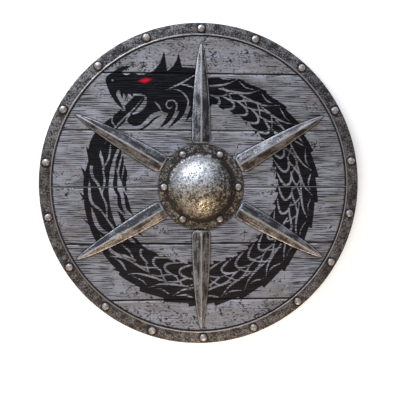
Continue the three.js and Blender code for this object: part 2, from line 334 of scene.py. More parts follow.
# %% The ring that the body follows
RING_RADIUS = 186.0  # the body's middle line, about the boss's centre
SCALE_STEP = 12.6  # degrees from one back scale to the next
BELLY_STEP = 9.6  # degrees from one belly scale to the next
NECK, TAIL = -9.0, 297.0  # where the body starts and ends, in degrees clockwise from the top
LAST_SCALES, FIRST_LEAVES = 216, 236  # degrees between which the scales give way to leaves
# degrees clockwise, and how far the back or the belly lies from the middle line there, in mm
BACK_AT, BACK_WIDTH = [-10, 6, 20, 60, 200, 250, 275, TAIL], [14, 22, 30, 36, 38, 38, 36, 25]
BELLY_AT, BELLY_WIDTH = [-10, 30, 60, 190, 220, 240, 275, TAIL], [22, 32, 37, 37, 30, 9, 11, 12]


def ring_point(clockwise, outward):
    """The point at an angle clockwise from the top, so many mm outside the ring's middle line."""
    angle, radius = np.radians(clockwise), RING_RADIUS + np.asarray(outward, float)
    return np.stack([radius * np.sin(angle), radius * np.cos(angle) + hand_centre], axis=-1)


def ring_stroke(x, y, stations, width, **swell):
    """A stroke through stations of (degrees clockwise, mm outward) on the ring."""
    curve = through(stations)
    return stroke(x, y, ring_point(curve[:, 0], curve[:, 1]), width, **swell)


def saw(clockwise, step):
    """Rises from 0 to 1 over each step round the ring, then drops: the overlap of a row of scales."""
    return (clockwise / step) % 1.0


def ring_band(x, y):
    """Depth inside the body's band. Each edge is a width that changes slowly round the ring, plus a
    saw-tooth for the tips of the scales, and the nearer edge counts."""
    clockwise = np.degrees(np.arctan2(x, y - hand_centre))
    clockwise = np.where(clockwise < 4 * NECK, clockwise + 360, clockwise)
    outward = np.hypot(x, y - hand_centre) - RING_RADIUS
    back = np.interp(clockwise, BACK_AT, BACK_WIDTH)
    belly = np.interp(clockwise, BELLY_AT, BELLY_WIDTH)
    scaly = smooth_step(FIRST_LEAVES, LAST_SCALES, clockwise)
    past_neck = smooth_step(-20, 75, clockwise)
    back = back + (0.5 + 6.0 * scaly * past_neck) * saw(clockwise + 3, SCALE_STEP) ** 1.6
    belly = belly + (0.3 + 6.7 * scaly) * saw(clockwise + 2, BELLY_STEP) ** 1.5
    ends = np.minimum(clockwise - NECK, TAIL - clockwise) * np.radians(RING_RADIUS)
    depth = np.minimum(np.minimum(back - outward, outward + belly), ends)
    return np.clip(depth, -REACH, REACH)


# %% [markdown]
# A brush paints the body as one black band and leaves the lines between the scales bare. So the lines are
# worked out next, as strokes of their own in rows round the ring, and cut out of the band. On the left the
# scales give way to long leaves, and strands and thorns of black stand off the body.

# %% Scales: lines of bare wood between the black
def bare_lines(x, y, rng):
    """Depth inside the lines that the brush left bare on the body: long pointed back scales with a glint in
    each, lozenges along the flank, crescents on the belly, and long leaves on the left. Each is moved a
    little, as a hand would."""
    bare = np.full(x.shape, -REACH)
    for start in np.arange(6, 224, SCALE_STEP):
        slip, lift = rng.uniform(-0.8, 0.8), rng.uniform(-1.5, 1.5)
        low_half = [(start - 8 + slip, 5 + lift), (start + 1 + slip, 7 + lift)]
        back_scale = low_half + [(start + 8, 15 + lift), (start + 13, 31)]
        bare = np.maximum(bare, ring_stroke(x, y, back_scale, 3.6, start=0.5, stop=0.1, belly=0.4))
        glint = [(start + 1, 28), (start + 6 + slip, 23 + lift), (start + 10.5, 27 + lift)]
        bare = np.maximum(bare, ring_stroke(x, y, glint, rng.uniform(1.5, 4.0), belly=0.35))
    for start in np.arange(10, 218, 10.4):
        slip = rng.uniform(-0.8, 0.8)
        rising = [(start - 2 + slip, -11), (start + 3, -8), (start + 8, 1), (start + 13 + slip, 6)]
        falling = [(start + 2 + slip, 8), (start + 5, 2), (start + 9, -9)]
        bare = np.maximum(bare, ring_stroke(x, y, rising, 3.2, start=0.3, stop=0.2))
        bare = np.maximum(bare, ring_stroke(x, y, falling, 2.6, start=0.2, stop=0.5))
    for start in np.arange(6, 226, BELLY_STEP):
        slip = rng.uniform(-0.6, 0.6)
        bow = [(start - 2, -9), (start + 4.5 + slip, -14), (start + 6 + slip, -24)]
        bow += [(start + 1.5, -33), (start - 5, -38)]
        bare = np.maximum(bare, ring_stroke(x, y, bow, 4.2, start=0.5, stop=0.1, belly=0.45))
    for start in np.arange(222, 286, 14.5):
        slip = rng.uniform(-1, 1)
        outer_side = [(start, 1 + slip), (start + 6, 9), (start + 12, 23 + slip), (start + 23, 25)]
        inner_side = [(start, 3), (start + 8 + slip, -3), (start + 18, 6 + slip)]
        width = rng.uniform(4.5, 8)
        bare = np.maximum(bare, ring_stroke(x, y, outer_side, width, start=0.4, stop=0.1, belly=0.65))
        bare = np.maximum(bare, ring_stroke(x, y, inner_side, 3.4, start=0.7, stop=0.1, belly=0.5))
    return bare


# where each strand of the belly starts: degrees clockwise, and mm outward
STRANDS = [(219, -26), (229, -37), (237, -25), (247, -42), (250, -29), (263, -23), (266, -40), (273, -30)]
STRANDS += [(280, -20)]
THORNS = (222, 236, 249, 262, 274, 284)  # degrees clockwise


def loose_strands(x, y, rng):
    """Depth inside the strands that peel off the belly on the left, and the thorns along the back. The
    strands run with the ring, side by side and staggered, and each thins at both ends."""
    black = np.full(x.shape, -REACH)
    for start, outward in STRANDS:
        length = rng.uniform(17, 22)
        bend = rng.uniform(-1, 1)
        line = [(0, outward - 5), (0.35, outward + bend), (0.7, outward), (1, outward + 5)]
        stations = [(start + length * t, off) for t, off in line]
        black = np.maximum(black, ring_stroke(x, y, stations, rng.uniform(6.5, 10), belly=0.45))
    for start in THORNS:
        thorn = [(start, 30), (start + 3, 36), (start + 6, 45)]
        black = np.maximum(black, ring_stroke(x, y, thorn, 7, start=1, belly=0.1))
    return black


# %% [markdown]
# The head repeats nothing, so it is drawn point by point: one outline from the crown over the muzzle, into
# the open mouth and back along the jaw, with the tail between its teeth. A narrow strip of wood stays bare
# round it, which is how a painter parts black from black. Its points are x and y in millimetres from the
# shield's centre.

# %% The head, biting the tail
HEAD = [
    # crown, brow, muzzle and hooked lip
    (-8, 219), (-36, 221), (-60, 215), (-90, 211), (-116, 206), (-129, 210), (-141, 205), (-156, 211),
    (-172, 207), (-180, 198), (-178, 186), (-172, 171), (-164, 157), (-155, 147), (-146, 141),
    # roof of the mouth, hinge, jaw and throat
    (-154, 156), (-160, 169), (-156, 176), (-147, 170), (-128, 170), (-109, 169), (-103, 160), (-106, 146),
    (-118, 135), (-134, 129), (-140, 119), (-131, 111), (-117, 111), (-106, 120), (-94, 132), (-77, 138),
    (-60, 133), (-44, 138), (-30, 148), (-8, 152),
]
EYE = [(-121, 193), (-113, 199), (-104, 201), (-91, 199), (-99, 192), (-107, 189)]
NOSTRIL, NOSTRIL_RADIUS = (-167, 195), 2.2
TOOTH_HALF_WIDTH = 4
# the middle of each root, then how far the tip is from it
TEETH = [(-151, 173, 3, -13), (-142, 171, 2, -11), (-132, 171, 3, -8), (-131, 127, -2, 9)]
TAIL_TIP = [(-204, 44), (-199, 74), (-184, 98), (-163, 116), (-142, 135), (-122, 156), (-112, 172)]
TAIL_LINES = [
    [(-112, 160), (-128, 141), (-148, 122), (-166, 102), (-182, 76)],
    [(-166, 134), (-168, 118), (-160, 106)],
]
HORNS = [
    [(-106, 206), (-90, 214), (-78, 228), (-70, 252), (-67, 232), (-64, 212)],
    [(-64, 214), (-54, 222), (-47, 234), (-43, 249), (-39, 232), (-34, 214)],
]
JAW_LINE = [(-132, 103), (-116, 103), (-102, 111), (-89, 123), (-76, 130)]
SNOUT_HORN = [(-162, 209), (-147, 217), (-132, 222)]
MANE = [
    [(-30, 156), (-40, 130), (-64, 104)],
    [(-54, 140), (-64, 121), (-80, 105)],
    [(-12, 152), (-18, 138), (-30, 118)],
]
# crest, a second feather, the back of the head, the curl on the cheek, the corner of the mouth
FACE_LINES = [
    [(-66, 178), (-42, 189), (-26, 198), (-8, 209)],
    [(-40, 189), (-24, 186), (-8, 180)],
    [(-68, 179), (-44, 178), (-30, 168), (-25, 152), (-40, 130), (-58, 107)],
    [(-72, 114), (-58, 128), (-48, 140), (-47, 152), (-55, 159), (-64, 156)]
    + [(-66, 148), (-60, 143), (-55, 148)],
    [(-88, 155), (-80, 147), (-76, 138)],
]
HALO = 3.0  # bare wood kept round the head where it crosses the tail
BRUSH_SEED = 5


def painted(x, y):
    """Depth in mm inside the black, and inside the red eye. Black marks join by taking the deeper of two,
    and a bare line cuts them by taking the shallower of the black and its own outside."""
    rng = np.random.default_rng(BRUSH_SEED)
    black = np.minimum(ring_band(x, y), -bare_lines(x, y, rng))
    black = np.maximum(black, loose_strands(x, y, rng))
    black = np.maximum(black, stroke(x, y, through(TAIL_TIP), 24, start=0.8, stop=0.8, belly=0.3))
    for line in TAIL_LINES:
        black = np.minimum(black, -stroke(x, y, through(line), 3.0, start=0.2, stop=0.2))
    head = shape(x, y, through(HEAD + HEAD[:1], 4)[:-1])
    black = np.maximum(np.minimum(black, -(head + HALO)), head)
    for horn in HORNS:
        black = np.maximum(black, shape(x, y, np.array(horn, float)))
    black = np.maximum(black, stroke(x, y, through(JAW_LINE), 4.5, start=0.2, stop=0.3, belly=0.6))
    black = np.maximum(black, stroke(x, y, through(SNOUT_HORN), 9, start=0.9, belly=0.3))
    for line in FACE_LINES:
        black = np.minimum(black, -stroke(x, y, through(line), 3.0, start=0.2, stop=0.4))
    black = np.minimum(black, np.hypot(x - NOSTRIL[0], y - NOSTRIL[1]) - NOSTRIL_RADIUS)
    for lock in MANE:
        black = np.maximum(black, stroke(x, y, through(lock), 10.5, start=0.9, belly=0.2))
    for root_x, root_y, reach_x, reach_y in TEETH:
        root = [(root_x - TOOTH_HALF_WIDTH, root_y), (root_x + TOOTH_HALF_WIDTH, root_y)]
        tooth = root + [(root_x + reach_x, root_y + reach_y)]
        black = np.maximum(black, shape(x, y, np.array(tooth, float)))
    return black, shape(x, y, np.array(EYE, float))


# %% [markdown]
# ## Grey limed planks
#
# Each plank is sawn pine, wire-brushed so that the soft grain sinks, stained grey with lime and rubbed with
# dark wax that stays in the hollows. The outer two planks are smoother, with pits and short gouges. A
# material alone could draw all this, but a groove 2 mm wide catches light like a groove only if it is one,
# so the grain and the gouges are in the mesh, and the material adds what is finer.
#
# A plank is a section carried along its length: up its front in rows under a millimetre apart, and back
# down its plainer back. The ends lie on the board's circle, and the middle two planks have half of the hand
# hole each.

# %% Outline of a plank
HAND_HOLE = 55.0
ALONG = 1.6  # mm between sections along a plank
ACROSS = 0.86  # mm between rows on its front
BACK_ROWS = 12
EDGE_ROUND = 2.0  # how far the worn round of an edge reaches
EDGE_DROP = 2.4  # how far it falls


def is_hand_seam(edge):
    """Whether a plank's edge is the seam that the hand hole is cut through."""
    return abs(edge - hand_centre) < 1


def plank_stations(low, high):
    """Places along the plank: even steps, with more where the outline turns steep, at the ends and at the
    hole."""
    nearest = max(low, -high, 0)
    reach = math.sqrt(board_radius**2 - nearest**2) - 0.05
    turn = np.sin(np.linspace(0, np.pi / 2, 24))
    even = np.linspace(-reach, reach, int(2 * reach / ALONG))
    ends = np.concatenate([reach * turn[-6:], -reach * turn[-6:]])
    has_hole = is_hand_seam(low) or is_hand_seam(high)
    hole = np.concatenate([HAND_HOLE * turn, -HAND_HOLE * turn]) if has_hole else []
    stations = np.unique(np.round(np.concatenate([even, ends, hole]), 2))
    return stations[np.abs(stations) <= reach]


def plank_limits(along, low, high):
    """Lower and upper edge of the plank at each place along it: its seams, cut by the board's circle, and by
    the hand hole's circle where that touches a seam."""
    circle = np.sqrt(np.maximum(board_radius**2 - along**2, 0))
    hole = np.sqrt(np.maximum(HAND_HOLE**2 - along**2, 0))
    bottom, top = np.maximum(low, -circle), np.minimum(high, circle)
    if is_hand_seam(low):
        bottom = np.maximum(bottom, hand_centre + hole)
    if is_hand_seam(high):
        top = np.minimum(top, hand_centre - hole)
    return bottom, top


# %% [markdown]
# A black line of painted shadow runs along the corner where a blade or the boss meets the wood. The
# planks need to know how far they are from the iron for it, and so the blades' outline comes first.

# %% Where iron meets the wood
BOSS_RADIUS = 81.0
BLADE_START, BLADE_LENGTH = 83.0, 189.0
HALF_WIDTH, RIDGE, EDGE_HEIGHT = 17.5, 9.0, 1.6
ROOT_LENGTH = 10


def blade_outline(t):
    """Half the width, and the ridge's height, at share t of the length. The width is a leaf that narrows to a
    point. At the root the corners are rounded and the ridge climbs."""
    root = np.clip(t * BLADE_LENGTH / ROOT_LENGTH, 0, 1)
    half = HALF_WIDTH * (1 - t**2) ** 0.7 * (0.55 + 0.45 * np.sqrt(1 - (1 - root) ** 2))
    ridge = EDGE_HEIGHT + (RIDGE - EDGE_HEIGHT) * (0.35 + 0.65 * root) * (1 - t**3)
    return np.maximum(half, 0.4), ridge


def from_iron(x, y):
    """How far each point of the board lies from the nearest blade or from the boss, 0 under them."""
    gap = np.hypot(x, y - hand_centre) - BOSS_RADIUS
    for turn in np.radians(np.arange(0, 360, 60)):
        run = x * math.sin(turn) + (y - hand_centre) * math.cos(turn) - BLADE_START
        side = np.abs(x * math.cos(turn) - (y - hand_centre) * math.sin(turn))
        half, _ = blade_outline(np.clip(run / BLADE_LENGTH, 0, 1))
        beyond = np.maximum(-run, run - BLADE_LENGTH)
        gap = np.minimum(gap, np.hypot(np.maximum(side - half, 0), np.maximum(beyond, 0)))
    return np.maximum(gap, 0)


# %% [markdown]
# Grain is a wave across the plank whose crests wander. Straight, even lines would look sawn by a machine,
# so slow noise bends the wave and a second noise breaks its lines off. Gouges are the thin lines where
# another noise passes through zero, and pits are the peaks of a round noise.

# %% Relief of a plank's front
GROOVE_PITCH = 3.8  # mm from one dark grain line to the next
GROOVE_DEPTH, GOUGE_DEPTH, PIT_DEPTH = 1.1, 0.75, 0.7
MOST_DEPTH = 2.8
RIM_GAP, RIM_GAP_DEPTH = (279.4, 281.4), 1.4  # radii and depth of the gap worn along the rim's lip


def plank_depth(x, y, low, high, seed, outer):
    """How far each point of the front lies below the plank's face, in mm. Grain, gouges in patches, pits and
    a slow swell are added up. Where they are shallower than the gap along the rim or the worn round of an
    edge, those count instead. The outer planks swap their grain for gouges and pits."""
    at = np.stack([x, y, np.full(x.shape, 31.0 * seed)], -1)
    bend = 2.6 * noise(at, (130, 45, 1), seed) + 1.0 * noise(at, (60, 9, 1), seed + 1)
    bend = bend + 0.3 * noise(at, (14, 8, 1), seed + 2)
    wave = np.cos(2 * np.pi * (y + bend) / GROOVE_PITCH)
    broken = smooth_step(-0.45, 0.1, noise(at, (46, 5, 1), seed + 3))
    fine = smooth_step(0.15, 0.5, noise(at, (40, 1.9, 1), seed + 10))
    grain = np.maximum(smooth_step(0.3, 0.95, wave) * broken, 0.6 * fine)
    patch = smooth_step(-0.1, 0.2, noise(at, (60, 38, 1), seed + 4) + (0.3 if outer else -0.14))
    line = 1 - smooth_step(0.05, 0.17, np.abs(noise(at, (7, 8, 1), seed + 5)))
    gouges = line * patch * smooth_step(-0.2, 0.1, noise(at, (15, 12, 1), seed + 6))
    pits = smooth_step(0.3, 0.6, noise(at, (5.0, 3.6, 1), seed + 7)) * (0.8 if outer else 0.2)
    swell = 0.15 + 0.2 * noise(at, (90, 26, 1), seed + 8)
    kept = 0.22 if outer else 1 - 0.75 * patch
    depth = GROOVE_DEPTH * grain * kept
    depth = depth + (GOUGE_DEPTH + 0.5 * noise(at, (20, 20, 1), seed + 11)) * gouges
    depth = depth + PIT_DEPTH * pits + swell
    radius = np.hypot(x, y)
    gap = smooth_step(RIM_GAP[0] - 0.6, RIM_GAP[0] + 0.4, radius)
    gap = gap * (1 - smooth_step(RIM_GAP[1], board_radius, radius))
    depth = np.maximum(depth, RIM_GAP_DEPTH * gap)
    away = np.minimum(y - low, high - y)
    worn = EDGE_ROUND * (1 + 0.35 * noise(at, (26, 400, 1), seed + 9))
    fall = EDGE_DROP * np.clip(1 - away / worn, 0, 1) ** 1.5
    return np.clip(np.maximum(depth, fall), 0, MOST_DEPTH)


def plank_rows(low, high):
    """Places across the plank's front, from 0 at its lower edge to 1 at its upper: close together where the
    edges are rounded, then even."""
    ease = np.array([0, 0.12, 0.35, 0.7, 1.15, EDGE_ROUND])
    even = np.linspace(2 * EDGE_ROUND - 0.9, high - low - 2 * EDGE_ROUND + 0.9, int((high - low) / ACROSS))
    return np.concatenate([ease, even, high - low - ease[::-1]]) / (high - low)


# %% Build a plank
EDGE_HIGHLIGHT_BELOW, EDGE_HIGHLIGHT_WIDTH = 2.7, 1.1  # the painted highlight below a seam: how far below it, and how wide, in mm
CONTACT_SHADOW_WIDTH = 2.0  # how far the painted shadow reaches from the iron


def build_plank(number, finish):
    """One plank as a carried section, with its relief and with the paint's depth at every point."""
    box_low, box_high = node_box(f"plank_{number}")
    low, high = box_low[1], box_high[1]
    along = plank_stations(low, high)
    bottom, top = plank_limits(along, low, high)
    rows = plank_rows(low, high)
    back = np.linspace(1, 0, BACK_ROWS)
    share = np.concatenate([rows, back])
    x = np.repeat(along[:, None], len(share), axis=1)
    y = bottom[:, None] + (top - bottom)[:, None] * share
    on_front = np.arange(len(share)) < len(rows)
    front = np.broadcast_to(on_front, x.shape).ravel()
    x, y = x.ravel(), y.ravel()
    edges_low, edges_high = np.repeat(bottom, len(share)), np.repeat(top, len(share))
    outer = number in (1, 6)
    depth = np.zeros(x.shape)
    depth[front] = plank_depth(x[front], y[front], edges_low[front], edges_high[front], 10 * number, outer)
    z = np.where(front, board_front - 0.02 - depth, board_back + 0.05)
    black, red = np.full(x.shape, -REACH), np.full(x.shape, -REACH)
    black[front], red[front] = painted(x[front], y[front])
    # painted highlight: a pale line along each plank's top edge, just below the seam above it
    at_seam = (np.abs(edges_high - high) < 1e-6) & (number > 1)
    painted_edge_highlight = np.exp(-(((edges_high - y - EDGE_HIGHLIGHT_BELOW) / EDGE_HIGHLIGHT_WIDTH) ** 2)) * front * at_seam
    # painted shadow: dark along the wood where it meets the blades and the boss
    painted_contact_shadow = np.exp(-((from_iron(x, y) / CONTACT_SHADOW_WIDTH) ** 2)) * front
    measures = {"depth_mm": depth, "black_mm": black, "red_mm": red, "painted_edge_highlight": painted_edge_highlight, "painted_contact_shadow": painted_contact_shadow}
    faces = carried_faces(len(along), len(share), ring=False)
    piece = add_piece(
        f"plank_{number}_surface", np.stack([x, y, z], -1), faces, finish, measures
    )
    piece.data.set_sharp_from_angle(angle=math.radians(75))


# %% [markdown]
# The finish builds up as the surface did. First comes pale wood with slow changes of tone, fine streaks
# along the grain and crumbs of lime. Below each seam the plank's top edge gets a pale painted highlight.
# Dark wax follows the depth of each groove, and a black painted shadow lies along the iron.

# %% Limed pine: the wood
# pine, wire brushed, limed and waxed: dull all over, pale on the high grain and nearly black in the grooves
limed, shader = new_finish("Limed pine, wire brushed, waxed and painted")
shader.inputs["Specular IOR Level"].default_value = 0.15
place = add(limed, "TexCoord", output="Object")
# streaks 38 mm long and 1.5 mm wide, clouds 70 mm long and 30 mm wide, and mottling of 3 to 5 mm
streak_place = add(limed, "Mapping", {"Vector": place, "Scale": cells((38, 1.5, 38))})
streak = add(limed, "TexNoise", {"Vector": streak_place, "Scale": 1.0, "Detail": 3.0, "Roughness": 0.5})
cloud_place = add(limed, "Mapping", {"Vector": place, "Scale": cells((70, 30, 70))})
cloud = add(limed, "TexNoise", {"Vector": cloud_place, "Scale": 1.0, "Detail": 4.0, "Roughness": 0.55})
mottle_place = add(limed, "Mapping", {"Vector": place, "Scale": cells((5, 3, 5))})
mottle = add(limed, "TexNoise", {"Vector": mottle_place, "Scale": 1.0, "Detail": 4.0, "Roughness": 0.7})
groove = add(limed, "Attribute", output="Fac", attribute_name="depth_mm")
black = add(limed, "Attribute", output="Fac", attribute_name="black_mm")
red = add(limed, "Attribute", output="Fac", attribute_name="red_mm")

# lime and grey stain: pale grey, warmer and darker in slow clouds
cloudy = add(limed, "MapRange", {"Value": cloud, "From Min": 0.36, "From Max": 0.62})
stain = add(
    limed, "Mix", {SHARE: cloudy, FIRST: linear(0x7C797A), SECOND: linear(0x9295A0)}, MIXED, data_type="RGBA"
)
# streaks of the grain: thin dark lines that read as brushed wood
streaky = add(
    limed, "MapRange", {"Value": streak, "From Min": 0.40, "From Max": 0.56, "To Min": 0.5, "To Max": 0.0}
)
grained = add(limed, "Mix", {SHARE: streaky, FIRST: stain, SECOND: linear(0x58575B)}, MIXED, data_type="RGBA")
# crumbs of lime left on the high wood: small pale spots that break up the streaks
crumbs = add(
    limed, "MapRange", {"Value": mottle, "From Min": 0.52, "From Max": 0.72, "To Min": 0.0, "To Max": 0.4}
)
limey = add(limed, "Mix", {SHARE: crumbs, FIRST: grained, SECOND: linear(0xA6A8B1)}, MIXED, data_type="RGBA")
# painted highlight: below each seam the plank's top edge is made pale
painted_edge_highlight = add(limed, "Attribute", output="Fac", attribute_name="painted_edge_highlight")
paler = add(limed, "Math", {0: painted_edge_highlight, 1: 0.55}, operation="MULTIPLY")
edged = add(limed, "Mix", {SHARE: paler, FIRST: limey, SECOND: linear(0xC4C5CC)}, MIXED, data_type="RGBA")
# dark wax: nearly black in the bottom of a groove, none on the high wood
waxed = add(
    limed, "MapRange", {"Value": groove, "From Min": 0.28, "From Max": 0.95, "To Min": 0.0, "To Max": 0.93}
)
lined = add(limed, "Mix", {SHARE: waxed, FIRST: edged, SECOND: linear(0x1A1818)}, MIXED, data_type="RGBA")
# painted shadow: a black line along the blades and round the boss, where the iron meets the wood
painted_contact_shadow = add(limed, "Attribute", output="Fac", attribute_name="painted_contact_shadow")
uneven = add(
    limed, "MapRange", {"Value": mottle, "From Min": 0.35, "From Max": 0.6, "To Min": 0.6, "To Max": 0.95}
)
contact_shadow_share = add(limed, "Math", {0: painted_contact_shadow, 1: uneven}, operation="MULTIPLY")
wood = add(limed, "Mix", {SHARE: contact_shadow_share, FIRST: lined, SECOND: linear(0x141214)}, MIXED, data_type="RGBA")

# %% [markdown]
# The black paint sits on top. Its edge is ragged by a fraction of a millimetre, where the grain lifted the
# bristles, and it has worn thin along the same streaks that mark the wood. The red eye comes last.

# %% Limed pine: the paint
ragged = add(
    limed, "MapRange", {"Value": mottle, "From Min": 0.3, "From Max": 0.7, "To Min": -0.7, "To Max": 0.7}
)
edge = add(limed, "Math", {0: black, 1: ragged}, operation="ADD")
inked = add(limed, "MapRange", {"Value": edge, "From Min": -0.25, "From Max": 0.35})
kept = add(
    limed, "MapRange", {"Value": streak, "From Min": 0.46, "From Max": 0.64, "To Min": 1.0, "To Max": 0.955}
)
ink = add(limed, "Math", {0: inked, 1: kept}, operation="MULTIPLY")
# painted light: the black is lighter and browner towards the bottom, as if lit warm from below, and darker and
# cooler towards the top
upward = add(limed, "SeparateXYZ", {"Vector": place}, output="Y")
painted_light_gradient = add(limed, "MapRange", {"Value": upward, "From Min": -0.24, "From Max": 0.16})
black_paint = {SHARE: painted_light_gradient, FIRST: linear(0x1B1718), SECOND: linear(0x06070E)}
blacks = add(limed, "Mix", black_paint, MIXED, data_type="RGBA")
painted_wood = add(limed, "Mix", {SHARE: ink, FIRST: wood, SECOND: blacks}, MIXED, data_type="RGBA")
# the eye: a thin red over the black, so that a little dark grain shows through
eye_edge = add(
    limed, "MapRange", {"Value": red, "From Min": -0.3, "From Max": 0.3, "To Min": 0.0, "To Max": 0.93}
)
inner = add(limed, "MapRange", {"Value": red, "From Min": 0.5, "From Max": 4.5})
reds = add(
    limed, "Mix", {SHARE: inner, FIRST: linear(0x5E0A18), SECOND: linear(0xC0182E)}, MIXED, data_type="RGBA"
)
coloured = add(limed, "Mix", {SHARE: eye_edge, FIRST: painted_wood, SECOND: reds}, MIXED, data_type="RGBA")
rough = add(limed, "MapRange", {"Value": ink, "To Min": 0.8, "To Max": 0.7})
fine = add(limed, "Math", {0: streak, 1: mottle}, operation="ADD")
bump = add(limed, "Bump", {"Height": fine, "Strength": 0.6, "Distance": 0.5 * MM})
limed.node_tree.links.new(coloured, shader.inputs["Base Color"])
limed.node_tree.links.new(rough, shader.inputs["Roughness"])
limed.node_tree.links.new(bump, shader.inputs["Normal"])

# %% Planks
for number in range(1, 7):
    build_plank(number, limed)
report("plank")

# %% [markdown]
# ## Iron
#
# All the fittings are iron, blackened and then rubbed. What tells them apart is how much has been rubbed.
# The rim is nearly all dark scale with bright grit where it was hit. The boss is bright on top, a painted
# highlight, with dark scale left in the hammer marks, and it turns brown low down, a painted warm
# reflection. So one recipe makes every iron finish from a dark colour, a bright one, a brown one, and how
# far the rubbing went.
#
# Each iron piece carries two numbers at every point. The first rises from the hollows to the highs and is
# worked out with the relief, so worn bright metal sits on a real high spot; on the boss, the blades and
# round the rivets it also holds painted highlights and painted shade. The second is 1 where the iron turns
# brown: rust on the nails, a brown tint on the boss's flange, and elsewhere a painted warm reflection on
# what faces the bottom.

# %% Iron finish
def iron(name, dark, bright, brown, rubbed, grit_mm, grit_share=1.0):
    """Iron whose scale has been rubbed. `rubbed` shifts the balance from dark to bright, `grit_mm` is the
    size of the bright specks and `grit_share` how strongly they show, and where the mesh's brown share is 1
    the brown colour takes over: rust on the nails, a painted warm reflection on most pieces."""
    metal, shader = new_finish(name)
    place = add(metal, "TexCoord", output="Object")
    wear_and_painted_light = add(metal, "Attribute", output="Fac", attribute_name="wear_and_painted_light")
    scale = 1 / (grit_mm * MM)
    grit = add(metal, "TexNoise", {"Vector": place, "Scale": scale, "Detail": 4.0, "Roughness": 0.7})
    blotch = add(metal, "TexNoise", {"Vector": place, "Scale": scale / 6, "Detail": 4.0, "Roughness": 0.6})
    # grit: the specks of bare metal that catch the light
    speck = add(metal, "MapRange", {"Value": grit, "From Min": 0.45, "From Max": 0.60})
    wandering = {"Value": blotch, "From Min": 0.3, "From Max": 0.7, "To Min": -0.12, "To Max": 0.12}
    wander = add(metal, "MapRange", wandering)
    level = add(metal, "Math", {0: wear_and_painted_light, 1: wander}, operation="ADD")
    worn = add(metal, "Math", {0: level, 1: rubbed}, operation="ADD")
    # where the wear and the painted highlight go furthest, the metal is bright between the specks too
    polished = add(metal, "MapRange", {"Value": worn, "From Min": 0.8, "From Max": 1.2})
    kept_grit = add(metal, "Math", {0: speck, 1: polished}, operation="MAXIMUM")
    evened = {"Value": kept_grit, "To Min": 1.05 - grit_share / 2, "To Max": 1.05 + grit_share / 2}
    gritty = add(metal, "MapRange", evened)
    bare = add(metal, "Math", {0: worn, 1: gritty}, operation="MULTIPLY")
    share = add(metal, "MapRange", {"Value": bare, "From Min": 0.22, "From Max": 1.0})
    # brown: a painted warm reflection on the sides and parts that face the bottom, with rust on the nails and a
    # brown tint on the boss's flange, broken up by the grit
    low_side = add(metal, "Attribute", output="Fac", attribute_name="rust_and_warm_reflection")
    patchy = add(
        metal, "MapRange", {"Value": grit, "From Min": 0.40, "From Max": 0.58, "To Min": 0.35, "To Max": 0.9}
    )
    rust_and_warm_reflection = add(metal, "Math", {0: low_side, 1: patchy}, operation="MULTIPLY")
    clean = add(
        metal, "Mix", {SHARE: share, FIRST: linear(dark), SECOND: linear(bright)}, MIXED, data_type="RGBA"
    )
    browned = add(
        metal, "Mix", {SHARE: share, FIRST: linear(0x33281F), SECOND: linear(brown)}, MIXED, data_type="RGBA"
    )
    colour = add(metal, "Mix", {SHARE: rust_and_warm_reflection, FIRST: clean, SECOND: browned}, MIXED, data_type="RGBA")
    # scale is dull and hardly metallic, bare metal is shiny
    metallic = add(metal, "MapRange", {"Value": share, "To Min": 0.3, "To Max": 0.72})
    rough = add(metal, "MapRange", {"Value": share, "To Min": 0.6, "To Max": 0.4})
    bump = add(metal, "Bump", {"Height": grit, "Strength": 0.7, "Distance": 0.35 * MM})
    metal.node_tree.links.new(colour, shader.inputs["Base Color"])
    metal.node_tree.links.new(metallic, shader.inputs["Metallic"])
    metal.node_tree.links.new(rough, shader.inputs["Roughness"])
    metal.node_tree.links.new(bump, shader.inputs["Normal"])
    return metal


# %% [markdown]
# ## The rim
#
# A rim like this is a strip of sheet folded into a channel and hammered round the board. Its front band is
# a little crowned and pitted all over, its inner edge is turned up into a thin lip, and the wall outside is
# dented. The section below starts under the lip, goes over the band, down the wall, along the back leg and
# back along the hidden inside. Each of its points is a radius and a height.

# %% The rim's section
RIM_STATIONS = 1200
RIM_RADIUS = 305.0
RIM_BACK, RIM_FACE, LIP_TOP = 18.4, 32.6, 33.8
LIP = [(282.0, 31.05), (282.0, 32.6), (282.2, 33.4), (282.8, 33.75), (283.5, 33.75), (284.1, 33.4)]
LIP += [(284.5, 32.7)]
LIP_CREST = slice(2, 6)  # the lip's points that stand highest and are rubbed bright
DIP = [(284.9, 32.25), (285.6, 32.1)]
CORNER = [(303.6, 32.5), (304.4, 32.1), (304.85, 31.5)]
HEEL = [(304.9, 19.6), (304.5, 18.9), (303.8, 18.45)]
HIDDEN = [(288.0, 18.5), (288.0, 19.95), (303.4, 19.95), (303.4, 31.03)]


RING_WIDTH = 1.8  # mm of painted shadow round a rivet's head


def round_heads(x, y, prefix, count):
    """1 in a thin ring round each rivet's head, where a painted shadow goes, and 0 away from them."""
    ring = np.zeros(x.shape)
    for number in range(1, count + 1):
        low, high = node_box(f"{prefix}_{number:02d}")
        centre, head = (low + high) / 2, (high[0] - low[0]) / 2
        away = np.hypot(x - centre[0], y - centre[1]) - head
        ring = np.maximum(ring, np.exp(-((away / RING_WIDTH) ** 2)))
    return ring


